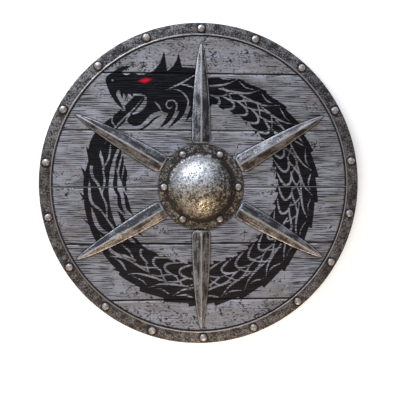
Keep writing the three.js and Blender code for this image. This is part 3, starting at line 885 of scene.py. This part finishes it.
band_r = np.linspace(286.4, 302.8, 19)
band = [(r, 32.35 + 0.75 * math.sin(math.pi * (r - 285.6) / 18)) for r in band_r]
wall = [(304.95, z) for z in np.linspace(30.6, 20.2, 9)]
underside = [(r, RIM_BACK) for r in np.linspace(302.6, 289.0, 8)]
section = np.array(LIP + DIP + band + CORNER + wall + HEEL + underside + HIDDEN)
angle = np.linspace(0, 2 * np.pi, RIM_STATIONS, endpoint=False)
x = section[:, 0] * np.cos(angle)[:, None]
y = section[:, 0] * np.sin(angle)[:, None]
z = np.broadcast_to(section[:, 1], x.shape)
print(f"rim: {len(section)} points in its section, at {RIM_STATIONS} places")

# %% Rim
shown = np.ones(len(section))
shown[-len(HIDDEN):] = 0
shown[: len(LIP)] = 0.35
at = np.stack([x, y, z], -1).reshape(-1, 3)
dents = noise(at, 13, 41).reshape(x.shape)
grain = noise(at, 3.6, 42).reshape(x.shape)
pits = smooth_step(0.28, 0.6, noise(at, 2.9, 43)).reshape(x.shape)
relief = (0.28 * dents + 0.2 * grain - 0.5 * pits - 0.1) * shown
# the relief moves the band up and down, and the wall in and out
on_wall = smooth_step(31.8, 30.9, z) * smooth_step(19.0, 20.0, z)
z = np.clip(z + relief * (1 - on_wall), RIM_BACK, LIP_TOP)
thinner = 1 - np.clip(0.15 - relief, 0, 1.2) * on_wall / RIM_RADIUS
x, y = x * thinner, y * thinner
crest = np.zeros(len(section))
crest[LIP_CREST] = 0.5
wear_and_painted_light = 0.48 + 0.75 * relief + crest
# painted shadow: a dark ring on the rim round each rivet head
wear_and_painted_light = wear_and_painted_light - 0.5 * round_heads(x, y, "rim_rivet", 18)
# painted warm reflection: the rim turns brown towards the bottom
rust_and_warm_reflection = 0.8 * smooth_step(260, -60, y)
# strap iron, scale-black: it looks almost black, with fine bright grit that makes it sparkle a little
blackened = iron("Blackened iron", 0x252325, 0xB8B7BD, 0xA59A91, rubbed=0.03, grit_mm=2.0)
faces = carried_faces(RIM_STATIONS, len(section), ring=True)
piece = add_piece(
    "rim_surface", np.stack([x, y, z], -1), faces, blackened, {"wear_and_painted_light": wear_and_painted_light, "rust_and_warm_reflection": rust_and_warm_reflection}
)
piece.data.set_sharp_from_angle(angle=math.radians(80))
report("rim")

# %% [markdown]
# ## The boss
#
# The boss covers the hand. It was raised from one round of sheet: a deep dome with a hollow foot, and a
# flat flange for the rivets. Its surface is a field of small hammer facets. A hammer leaves shallow round
# cups that meet in ridges, which is what the distance to the nearest of many scattered points looks like.

# %% The dome's line and the hammer
BOSS_SIDES = 320
DOME_RADIUS, DOME_FOOT, FLANGE_FACE = 58.0, 37.0, 32.8
SHEET = 1.8
FILLET, FILLET_DROP = 6, 4.2  # how far the dome's foot spreads, and how far it falls to the flange
SCRIBED_RADIUS = 66.5  # a line scribed where the flange starts


def dome_line(shrink, steps):
    """The dome's line from near its top down to its foot: a quarter ellipse, `shrink` mm inside the outer
    one."""
    across, rise = DOME_RADIUS - shrink, boss_high[2] - DOME_FOOT - shrink
    a = np.linspace(math.acos(0.4 / across), 0, steps)
    return np.stack([across * np.cos(a), DOME_FOOT + rise * np.sin(a)], -1)


def hammer_marks(points, spacing, depth, seed):
    """Height of a hammered surface: in each cell of a grid the hammer fell once, off the middle by a random
    amount, and left a cup. The highest points are those furthest from any blow."""
    rng = np.random.default_rng(seed)
    offsets = rng.uniform(0.15, 0.85, (4096, 3))
    p = points / spacing
    cell = np.floor(p).astype(np.int64)
    nearest = np.full(len(p), 9.0)
    for step in np.ndindex(3, 3, 3):
        c = cell + np.array(step) - 1
        blow = offsets[(c[:, 0] * 73 + c[:, 1] * 179 + c[:, 2] * 283) & 4095]
        nearest = np.minimum(nearest, ((c + blow - p) ** 2).sum(axis=1))
    return depth * (np.clip(nearest, 0, 1) - 0.35)


# %% The boss's section and its relief
outside = dome_line(0, 74)
foot_turn = np.linspace(0.2, np.pi / 2, 9)
fillet_radius = DOME_RADIUS + FILLET - FILLET * np.cos(foot_turn)
fillet = np.stack([fillet_radius, DOME_FOOT - FILLET_DROP * np.sin(foot_turn)], -1)
flange = np.array([(r, FLANGE_FACE) for r in np.linspace(65, 79.6, 17)])
edge = np.array([(80.3, 32.6), (80.8, 32.2), (81.0, 31.7), (80.9, 31.05)])
under = np.array([(r, 31.02) for r in np.linspace(78, 60, 4)])
inside = dome_line(SHEET, 24)[::-1]
profile = np.vstack([outside, fillet, flange, edge, under, inside])
angle = np.linspace(0, 2 * np.pi, BOSS_SIDES, endpoint=False)
x = profile[:, :1] * np.cos(angle)
y = profile[:, :1] * np.sin(angle) + hand_centre
z = np.repeat(profile[:, 1:], BOSS_SIDES, axis=1)
at = np.stack([x, y, z], -1).reshape(-1, 3)
shown = np.ones(len(profile))
shown[-len(inside) - len(under):] = 0
shown[-len(inside):] = 0.4
facets = hammer_marks(at, 9, 0.6, 51).reshape(x.shape)
pits = smooth_step(0.25, 0.6, noise(at, 2.6, 52)).reshape(x.shape)
grain = noise(at, 5.5, 53).reshape(x.shape)
relief = (facets - 0.35 * pits + 0.12 * grain - 0.25) * shown[:, None]
on_flange = (profile[:, 1] > 32) * (profile[:, 1] < 34)
scribed = np.exp(-(((profile[:, 0] - SCRIBED_RADIUS) / 0.7) ** 2)) * on_flange
relief = np.clip(relief - 0.7 * scribed[:, None], -1.0, 0)
slope = np.gradient(profile, axis=0)
normal = np.stack([-slope[:, 1], slope[:, 0]], -1)
normal = normal / np.linalg.norm(normal, axis=1, keepdims=True)
on_dome = 10  # any point high on the dome: there, outwards is up and away from the axis
outward = np.sign(normal[on_dome].sum()) * normal
x = x + relief * outward[:, :1] * np.cos(angle)
y = y + relief * outward[:, :1] * np.sin(angle)
z = z + relief * outward[:, 1:]
print(f"hammered {-relief.min():.1f} mm deep, top at z = {z.max():.1f}")

# %% [markdown]
# The boss's colour carries painted light. Its upper side is made lighter, a painted highlight, and its
# right side, the steep flank and the foot of the dome are made darker, painted shade; the flange is dark
# iron with a brown tint. The lower half turns brown, a painted warm reflection, and the border of the
# brown wanders.

# %% Boss
from_axis = np.hypot(x, y - hand_centre)
flat = smooth_step(60, 66, from_axis)
# painted highlight on the upper side of the dome; painted shade on its right side, its steep flank and round
# its foot
upper = smooth_step(-22, 30, y - hand_centre)
foot = smooth_step(57, 60, from_axis) * smooth_step(68, 65, from_axis)
steep = smooth_step(48, 58, from_axis)
right_side = smooth_step(0, 42, x) * (0.45 + 0.55 * upper)
dome_wear_and_painted_light = 0.65 + 0.34 * upper + 1.1 * (relief + 0.25) - 0.12 * steep - 0.5 * right_side
wear_and_painted_light = dome_wear_and_painted_light * (1 - flat) + (0.38 + 0.5 * (relief + 0.2)) * flat - 0.25 * foot
# painted shadow: a dark ring on the flange round each rivet head
wear_and_painted_light = wear_and_painted_light - 0.5 * round_heads(x, y, "boss_rivet", 6) * flat
# painted warm reflection: the lower half of the boss turns brown, with a wandering border; the whole flange
# gets a brown tint
border = 7 * noise(at, 9, 54).reshape(x.shape)
rust_and_warm_reflection = np.maximum(smooth_step(16, -22, y - hand_centre + border), 0.4 * flat)
# raised iron, hammered cold and polished by handling: nearly white on the highs, black in the hollows
hammered = iron("Hammered iron, rubbed bright", 0x2F2C2A, 0xE2E3E7, 0xE6D2AE, rubbed=0.0, grit_mm=3.0)
faces = carried_faces(len(profile), BOSS_SIDES, ring=False)
add_piece("boss_surface", np.stack([x, y, z], -1), faces, hammered, {"wear_and_painted_light": wear_and_painted_light, "rust_and_warm_reflection": rust_and_warm_reflection})
report("boss")
print(f"boss flange {2 * profile[:, 0].max():.0f} mm across")

# %% [markdown]
# ## Rivets
#
# A rivet is a nail whose far end was hammered flat over a hole. The heads here are low domes beaten by
# hand, so no two are quite alike. They are rubbed brighter than the rim, because they stand highest and get
# touched most. One profile, turned about an upright axis, makes head, shank and hammered end in one.

# %% Rivets
RIVET_SIDES = 40
SHANK_RADIUS = 2.4


def build_rivet(node, face, back, finish, seed):
    """One rivet about its own upright axis: domed head on the face, shank, and hammered end behind."""
    low, high = node_box(node)
    centre = (low + high) / 2
    head = (high[0] - low[0]) / 2
    a = np.linspace(np.pi / 2 - 0.05, 0, 15)
    dome = np.stack([head * np.cos(a), face + 0.05 + (high[2] - face - 0.05) * np.sin(a) ** 0.9], -1)
    neck = [(head - 0.5, face - 0.25), (SHANK_RADIUS, face - 0.3), (SHANK_RADIUS, back + 0.1)]
    neck += [(4.2, back - 0.02)]
    peened = [(4.5, back - 0.4), (4.1, back - 0.9), (3.0, low[2] + 0.06), (1.2, low[2]), (0.2, low[2])]
    profile = np.vstack([dome, neck, peened])
    angle = np.linspace(0, 2 * np.pi, RIVET_SIDES, endpoint=False)
    local = np.stack([profile[:, :1] * np.cos(angle), profile[:, :1] * np.sin(angle)], -1)
    z = np.repeat(profile[:, 1:], RIVET_SIDES, axis=1)
    at = np.concatenate([local, z[..., None]], -1).reshape(-1, 3) + seed * 50
    dents = noise(at, 5.0, seed).reshape(z.shape)
    pits = smooth_step(0.3, 0.6, noise(at, 2.0, seed + 1)).reshape(z.shape)
    on_head = (np.arange(len(profile)) < len(dome))[:, None]
    relief = np.clip(-0.25 - 0.3 * dents - 0.15 * pits, -1.0, 0) * on_head
    shrink = 1 + 0.5 * relief / head
    x = local[..., 0] * shrink + centre[0]
    y = local[..., 1] * shrink + centre[1]
    z = z + 0.8 * relief * (z - face) / (high[2] - face)
    # painted shade: each head is made darker towards its foot
    foot = smooth_step(0.72, 1.0, np.hypot(local[..., 0], local[..., 1]) / head)
    wear_and_painted_light = np.where(on_head, 0.62 + 0.9 * (relief + 0.3) - 0.45 * foot, 0.2)
    faces = carried_faces(len(profile), RIVET_SIDES, ring=False)
    # painted warm reflection: brown on each head's lower side, and more of it low on the shield
    rust_and_warm_reflection = 0.6 * smooth_step(0.3, -0.7, local[..., 1] / head) + 0.3 * smooth_step(150, -150, centre[1])
    measures = {"wear_and_painted_light": wear_and_painted_light, "rust_and_warm_reflection": rust_and_warm_reflection}
    add_piece(node + "_surface", np.stack([x, y, z], -1), faces, finish, measures)


# beaten iron heads: a soft shine on top, and painted shade that darkens each head round its foot
rubbed_heads = iron("Iron rivets, rubbed", 0x2C2A2A, 0xD4D2D4, 0xC2AE96, rubbed=0.16, grit_mm=1.8)
for number in range(1, 19):
    build_rivet(f"rim_rivet_{number:02d}", RIM_FACE, RIM_BACK, rubbed_heads, 60 + number)
report("rim_rivet")
for number in range(1, 7):
    build_rivet(f"boss_rivet_{number:02d}", FLANGE_FACE, board_back, rubbed_heads, 90 + number)
report("boss_rivet")

# %% [markdown]
# ## Blades
#
# The blades are ornament: flat below, two long facets above that meet in a ridge. They were forged and then
# filed, which left faint lines along each facet, and shallow pits that the file didn't reach. The section
# is carried from the root to the point, and its width and height follow the outline.

# %% Blades
BLADE_STATIONS = 216
FACET_ROWS = 15
# painted light and shade: how much lighter or darker each facet is made, left and right of its ridge
FACETS_PAINTED_LIGHT = [(0.05, -0.08), (0.18, -0.03), (-0.08, 0.06), (0.0, 0.10), (0.07, -0.09), (0.05, -0.12)]


def build_blade(number, finish):
    """One blade: its section has a flat underside, two thin sides, and two facets up to the ridge."""
    # places along the blade, a little closer together at the root and at the point
    even = np.linspace(0, 1, BLADE_STATIONS)
    t = even - 0.5 / (2 * np.pi) * np.sin(2 * np.pi * even)
    half, ridge = blade_outline(t)
    # `across` is a share of half the width; `lift` is 0 below, 1 at the top of the thin sides, 2 at the ridge
    facet = 1 - np.linspace(1, 0, FACET_ROWS) ** 1.4
    across = np.concatenate([[-1.0, -0.4, 0.4, 1.0, 1.0], 1 - facet, facet[-2::-1] - 1, [-1.0]])
    lift = np.concatenate([[0, 0, 0, 0, 0.5], 1 + facet, 1 + facet[-2::-1], [0.5]])
    side = across * half[:, None]
    facet_height = EDGE_HEIGHT + (lift - 1) * (ridge[:, None] - EDGE_HEIGHT)
    z = np.where(lift <= 1, lift * EDGE_HEIGHT, facet_height)
    on_top = lift >= 1
    run = np.repeat((t * BLADE_LENGTH)[:, None], len(across), axis=1)
    at = np.stack([side, run, z + 80 * number], -1).reshape(-1, 3)
    shape_of = side.shape
    dents = noise(at, (8, 26, 8), 70).reshape(shape_of)
    pits = smooth_step(0.25, 0.6, noise(at, (2.6, 3.6, 2.6), 71)).reshape(shape_of)
    nicks = smooth_step(0.35, 0.7, noise(at, (30, 4, 30), 72)).reshape(shape_of)
    near_ridge = np.exp(-((side / 1.3) ** 2))
    relief = np.clip(-0.3 - 0.2 * dents - 0.3 * pits * (1 - near_ridge) - 0.6 * nicks * near_ridge, -1.4, 0)
    relief = relief * on_top
    # the filed ridge is a narrow rounded land, not a knife edge
    z = z + relief - 0.45 * near_ridge * on_top * np.clip(ridge[:, None] / RIDGE, 0, 1)
    z = np.maximum(z, np.where(on_top, 0.9, 0.0)) + board_front + 0.03
    uneven = np.clip(noise(at, (40, 7, 40), 73).reshape(shape_of), 0, 1)
    side = side * (1 - 0.03 * uneven * (np.abs(across) > 0.95))
    near_edge = np.exp(-(((half[:, None] - np.abs(side)) / 1.2) ** 2))
    near_root = np.exp(-(((run - 1.0) / 1.5) ** 2))
    filed = noise(at, (2.6, 40, 2.6), 74).reshape(shape_of)
    patches = noise(at, (10, 22, 10), 75).reshape(shape_of)
    wear_and_painted_light = 0.31 + 0.5 * (relief + 0.4) + 0.25 * filed + 0.25 * patches
    wear_and_painted_light = wear_and_painted_light + 1.0 * near_ridge + 0.7 * np.maximum(near_edge, near_root)
    # painted light and shade: one facet of each blade is made lighter and the other darker
    wear_and_painted_light = wear_and_painted_light + np.where(side < 0, *FACETS_PAINTED_LIGHT[number - 1])
    turn = math.radians(60 * (number - 1))
    # painted warm reflection: brown on the facets that face the bottom, and on the blades that point down
    facing_down = np.sign(side) * math.sin(turn)
    hangs_low = 0.5 - 0.5 * math.cos(turn)
    rust_and_warm_reflection = np.clip(0.75 * facing_down + 0.55 * hangs_low * (1 - abs(math.sin(turn))), 0, 1)
    out = BLADE_START + run
    x = out * math.sin(turn) + side * math.cos(turn)
    y = out * math.cos(turn) - side * math.sin(turn) + hand_centre
    faces = carried_faces(len(t), len(across), ring=False)
    points = np.stack([x, y, z], -1)
    piece = add_piece(
        f"blade_{number}_surface", points, faces, finish, {"wear_and_painted_light": wear_and_painted_light * on_top, "rust_and_warm_reflection": rust_and_warm_reflection}
    )
    piece.data.set_sharp_from_angle(angle=math.radians(55))


# forged iron, filed: grey with lines along it, bright along the ridge and edges where it is touched
forged = iron("Forged iron, filed", 0x2E2E34, 0xC0C1C6, 0xAE9C86, rubbed=0.0, grit_mm=3.2, grit_share=0.6)
for number in range(1, 7):
    build_blade(number, forged)
report("blade")

# %% [markdown]
# ## Grip and nails
#
# Behind the boss runs one batten, which ties the planks together and gives the hand something to hold.
# Nobody sees it when the shield is carried, so it is plainly planed wood, oiled dark where the hand goes,
# with rounded edges and one nail into each plank.

# %% Grip
# places along the batten from its middle, and half its width there
GRIP_OUTLINE = [(-255, 14), (-77, 22), (-53, 20), (-35, 16), (35, 16), (53, 20), (77, 22), (255, 14)]
GRIP_TOP = board_back - 0.05
GRIP_ROUND = 4.0  # radius of its two long back edges


def build_grip(finish):
    """The batten as a section carried along Y: rounded below, flat against the planks, waisted."""
    along = np.concatenate([[-254.9], np.linspace(-254, 254, 340), [254.9]])
    half = np.interp(along, *zip(*GRIP_OUTLINE)) * np.where(np.abs(along) > 254.5, 0.975, 1.0)
    corner = np.linspace(0, np.pi / 2, 5)
    # each row: a share of half the width, mm added to that, and a height
    rows = [(-1, GRIP_ROUND * (1 - math.cos(a)), GRIP_ROUND * (1 - math.sin(a))) for a in corner[1:]]
    rows += [(f, 0.0, 0.0) for f in np.linspace(-1, 1, 14)[1:-1]]
    rows += [(1, -GRIP_ROUND * (1 - math.sin(a)), GRIP_ROUND * (1 - math.cos(a))) for a in corner]
    rows += [(1, 0.0, z) for z in (8.0, 12.0, 16.0, GRIP_TOP)]
    rows += [(f, 0.0, GRIP_TOP) for f in (0.5, 0.0, -0.5)]
    rows += [(-1, 0.0, z) for z in (GRIP_TOP, 16.0, 12.0, 8.0)]
    share, inset, z = (np.array(column) for column in zip(*rows))
    x = share * half[:, None] + inset
    y = np.repeat(along[:, None], len(rows), axis=1) + hand_centre
    z = np.repeat(z[None], len(along), axis=0)
    at = np.stack([x, y, z], -1).reshape(-1, 3)
    grain = noise(at, (3.0, 90, 3.0), 81).reshape(x.shape)
    relief = 0.3 * smooth_step(0.1, 0.6, grain)
    x = x - np.sign(x) * relief * (np.abs(share) > 0.9)
    z = np.where(z < 3, z + relief, z)
    worn = smooth_step(58, 30, np.abs(y - hand_centre))
    faces = carried_faces(len(along), len(rows), ring=False)
    points = np.stack([x, y, np.clip(z, 0, GRIP_TOP)], -1)
    add_piece("grip_surface", points, faces, finish, {"groove": relief, "worn": worn})


# planed ash, oiled: warm brown with long open grain, darker and smoother where the hand has worn it
oiled, shader = new_finish("Ash batten, oiled")
place = add(oiled, "TexCoord", output="Object")
grain_place = add(oiled, "Mapping", {"Vector": place, "Scale": cells((2.5, 70, 2.5))})
grain = add(oiled, "TexNoise", {"Vector": grain_place, "Scale": 1.0, "Detail": 5.0, "Roughness": 0.6})
groove = add(oiled, "Attribute", output="Fac", attribute_name="groove")
worn = add(oiled, "Attribute", output="Fac", attribute_name="worn")
ringed = add(oiled, "MapRange", {"Value": grain, "From Min": 0.35, "From Max": 0.65})
ash = add(
    oiled, "Mix", {SHARE: ringed, FIRST: linear(0x5A4632), SECOND: linear(0x8A7053)}, MIXED, data_type="RGBA"
)
deep = add(oiled, "MapRange", {"Value": groove, "From Max": 0.3, "To Max": 0.6})
lined = add(oiled, "Mix", {SHARE: deep, FIRST: ash, SECOND: linear(0x30241A)}, MIXED, data_type="RGBA")
handled = add(oiled, "MapRange", {"Value": worn, "To Max": 0.5})
colour = add(oiled, "Mix", {SHARE: handled, FIRST: lined, SECOND: linear(0x3D2C1E)}, MIXED, data_type="RGBA")
rough = add(oiled, "MapRange", {"Value": worn, "To Min": 0.68, "To Max": 0.42})
bump = add(oiled, "Bump", {"Height": grain, "Strength": 0.4, "Distance": 0.4 * MM})
oiled.node_tree.links.new(colour, shader.inputs["Base Color"])
oiled.node_tree.links.new(rough, shader.inputs["Roughness"])
oiled.node_tree.links.new(bump, shader.inputs["Normal"])
build_grip(oiled)
report("grip_surface")

# %% [markdown]
# Each nail goes through the grip into a plank. Only its head shows, let into the grip's back. It is a turned
# profile like a rivet's, but a smith's hammer has left its rim uneven.

# %% Nails
NAIL_SIDES = 24


def build_nail(node, finish, seed):
    """A wrought nail: a low faceted head sunk in the grip's back, and a shank that ends inside a plank."""
    low, high = node_box(node)
    centre = (low + high) / 2
    head = (high[0] - low[0]) / 2
    profile = [(0.2, low[2]), (head * 0.5, low[2] + 0.05), (head * 0.85, low[2] + 0.3), (head, low[2] + 0.75)]
    profile += [(head * 0.9, low[2] + 1.15), (1.5, low[2] + 1.2), (1.5, high[2] - 5), (0.2, high[2])]
    profile = np.array(profile)
    angle = np.linspace(0, 2 * np.pi, NAIL_SIDES, endpoint=False)
    ragged = 1 - 0.08 * np.abs(np.sin(2.5 * angle + seed)) * (profile[:, :1] > 1.6)
    x = profile[:, :1] * ragged * np.cos(angle) + centre[0]
    y = profile[:, :1] * ragged * np.sin(angle) + centre[1]
    z = np.repeat(profile[:, 1:], NAIL_SIDES, axis=1)
    wear_and_painted_light = np.where(z < low[2] + 0.6, 0.5, 0.2)
    faces = carried_faces(len(profile), NAIL_SIDES, ring=False)
    measures = {"wear_and_painted_light": wear_and_painted_light, "rust_and_warm_reflection": np.full(z.shape, 0.7)}
    add_piece(node + "_surface", np.stack([x, y, z], -1), faces, finish, measures)


# wrought iron, left as it came from the fire: black-brown, with rust over most of it
wrought = iron("Wrought iron nails", 0x332E2B, 0xA7A09A, 0x8E7354, rubbed=0.0, grit_mm=1.5)
for number in range(1, 7):
    build_nail(f"grip_nail_{number}", wrought, number)
report("grip_nail")

# %% [markdown]
# ## Studio
#
# The shield lies on a white floor, and the camera looks down on it. A lamp beyond the top edge, low and a
# little to the left, rakes across the wood so that every groove shows. A weaker, warmer lamp beyond the
# bottom edge answers it. A large one overhead lights wood and paint evenly and leaves no reflection in the
# iron.
#
# The iron mirrors the room round it, so the room isn't one grey: it is pale and cool towards the top edge,
# dark in between and brown towards the bottom. That, with the painted highlight and the painted warm
# reflection in the iron's own colour, is why the dome is cold and white above and golden below.

# %% Floor and lights
FLOOR_REACH = 20  # metres
floor_mesh = bpy.data.meshes.new("floor")
floor_corners = [(x * FLOOR_REACH, y * FLOOR_REACH, 0) for x, y in ((-1, -1), (1, -1), (1, 1), (-1, 1))]
floor_mesh.from_pydata(floor_corners, [], [(0, 1, 2, 3)])
floor = bpy.data.objects.new("floor", floor_mesh)
bpy.context.scene.collection.objects.link(floor)
floor.location.z = -0.0005  # a hair below the grip, so that the two faces never lie in one plane
floor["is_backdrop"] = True
# matt paper: no shine, and a faint glow that keeps shadows soft
paper, shader = new_finish("White studio paper")
shader.inputs["Base Color"].default_value = linear(0xF4F4F4)
shader.inputs["Roughness"].default_value = 0.9
shader.inputs["Emission Color"].default_value = (1, 1, 1, 1)
shader.inputs["Emission Strength"].default_value = 0.35
floor_mesh.materials.append(paper)

room = bpy.data.worlds.new("Room with a pale top and a warm bottom")
room.use_nodes = True
background = room.node_tree.nodes["Background"]
direction = add(room, "TexCoord", output="Generated")
# the room's light runs from the warm side, at 0, to the pale side, at 1
pale_side = (-0.45, 0.89, 0.0)
toward = add(room, "VectorMath", {0: direction, 1: pale_side}, output="Value", operation="DOT_PRODUCT")
spread = add(room, "MapRange", {"Value": toward, "From Min": -1.0, "From Max": 1.0})
ramp = add(room, "ValToRGB", {"Fac": spread})
stops = ramp.node.color_ramp.elements
stops[0].position, stops[0].color = 0.0, (0.45, 0.29, 0.16, 1)
stops[1].position, stops[1].color = 1.0, (1.0, 1.1, 1.25, 1)
between = [(0.32, (0.08, 0.07, 0.06, 1)), (0.52, (0.11, 0.11, 0.12, 1)), (0.72, (0.44, 0.48, 0.56, 1))]
for position, colour in between:
    stops.new(position).color = colour
room.node_tree.links.new(ramp, background.inputs["Color"])
background.inputs["Strength"].default_value = 1.0
bpy.context.scene.world = room


def lamp(name, place, target, size, watts, colour, mirrored=True):
    """A square area lamp at a place, aimed at a target, both in metres. One that isn't mirrored lights the
    dull surfaces and leaves no reflection in the iron."""
    data = bpy.data.lights.new(name, "AREA")
    data.size = size
    data.energy = watts
    data.color = colour
    lamp_object = bpy.data.objects.new(name, data)
    lamp_object.location = place
    lamp_object.rotation_euler = (Vector(target) - Vector(place)).to_track_quat("-Z", "Y").to_euler()
    lamp_object.visible_camera = False
    lamp_object.visible_glossy = mirrored
    bpy.context.scene.collection.objects.link(lamp_object)


lamp("window above", (-0.42, 0.76, 0.38), (0, 0.05, 0.03), 0.50, 5.4, (0.93, 0.96, 1.0))
lamp("warm lamp below", (0.05, -0.72, 0.40), (0, -0.1, 0.03), 0.4, 2.6, (1.0, 0.83, 0.63))
plain = (0.99, 0.99, 1.0)
lamp("soft light overhead", (-0.35, -0.08, 1.65), (0, -0.03, 0.03), 1.0, 12.9, plain, mirrored=False)

# %% [markdown]
# The camera stands a metre and a half above the shield, a little to its left and above its centre, so that
# the dome leans a few degrees in the picture. Its top points along +Y, and nothing else turns it.

# %% Camera
eye_place, eye_target = Vector((-0.1326, 0.0222, 1.4889)), Vector((-0.0023, -0.0303, 0.0310))
forward = (eye_target - eye_place).normalized()
right = forward.cross(Vector((0, 1, 0))).normalized()
up = right.cross(forward)
camera_data = bpy.data.cameras.new("camera")
camera_data.lens = 69.2  # mm
camera = bpy.data.objects.new("camera", camera_data)
bpy.context.scene.collection.objects.link(camera)
turned = np.array([right, up, -forward]).T
camera.rotation_euler = Matrix(turned.tolist()).to_euler()
camera.location = eye_place
bpy.context.scene.camera = camera
bpy.context.scene.view_settings.view_transform = "Standard"

# %% [markdown]
# ## Check the size
#
# The finer surfaces are meant to stay inside the imported model's box, so the two boxes are compared. Each
# number below says how far the visual model goes past the imported one along that axis.

# %% Check the size and count the triangles
visual_box = [list(corner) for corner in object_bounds()]
past = [max(cad_box[0][i] - visual_box[0][i], visual_box[1][i] - cad_box[1][i]) for i in range(3)]
print("past the CAD box, mm:", [round(v / MM, 3) for v in past])
print("triangles in all:", sum(t for t, _ in pieces.values()))
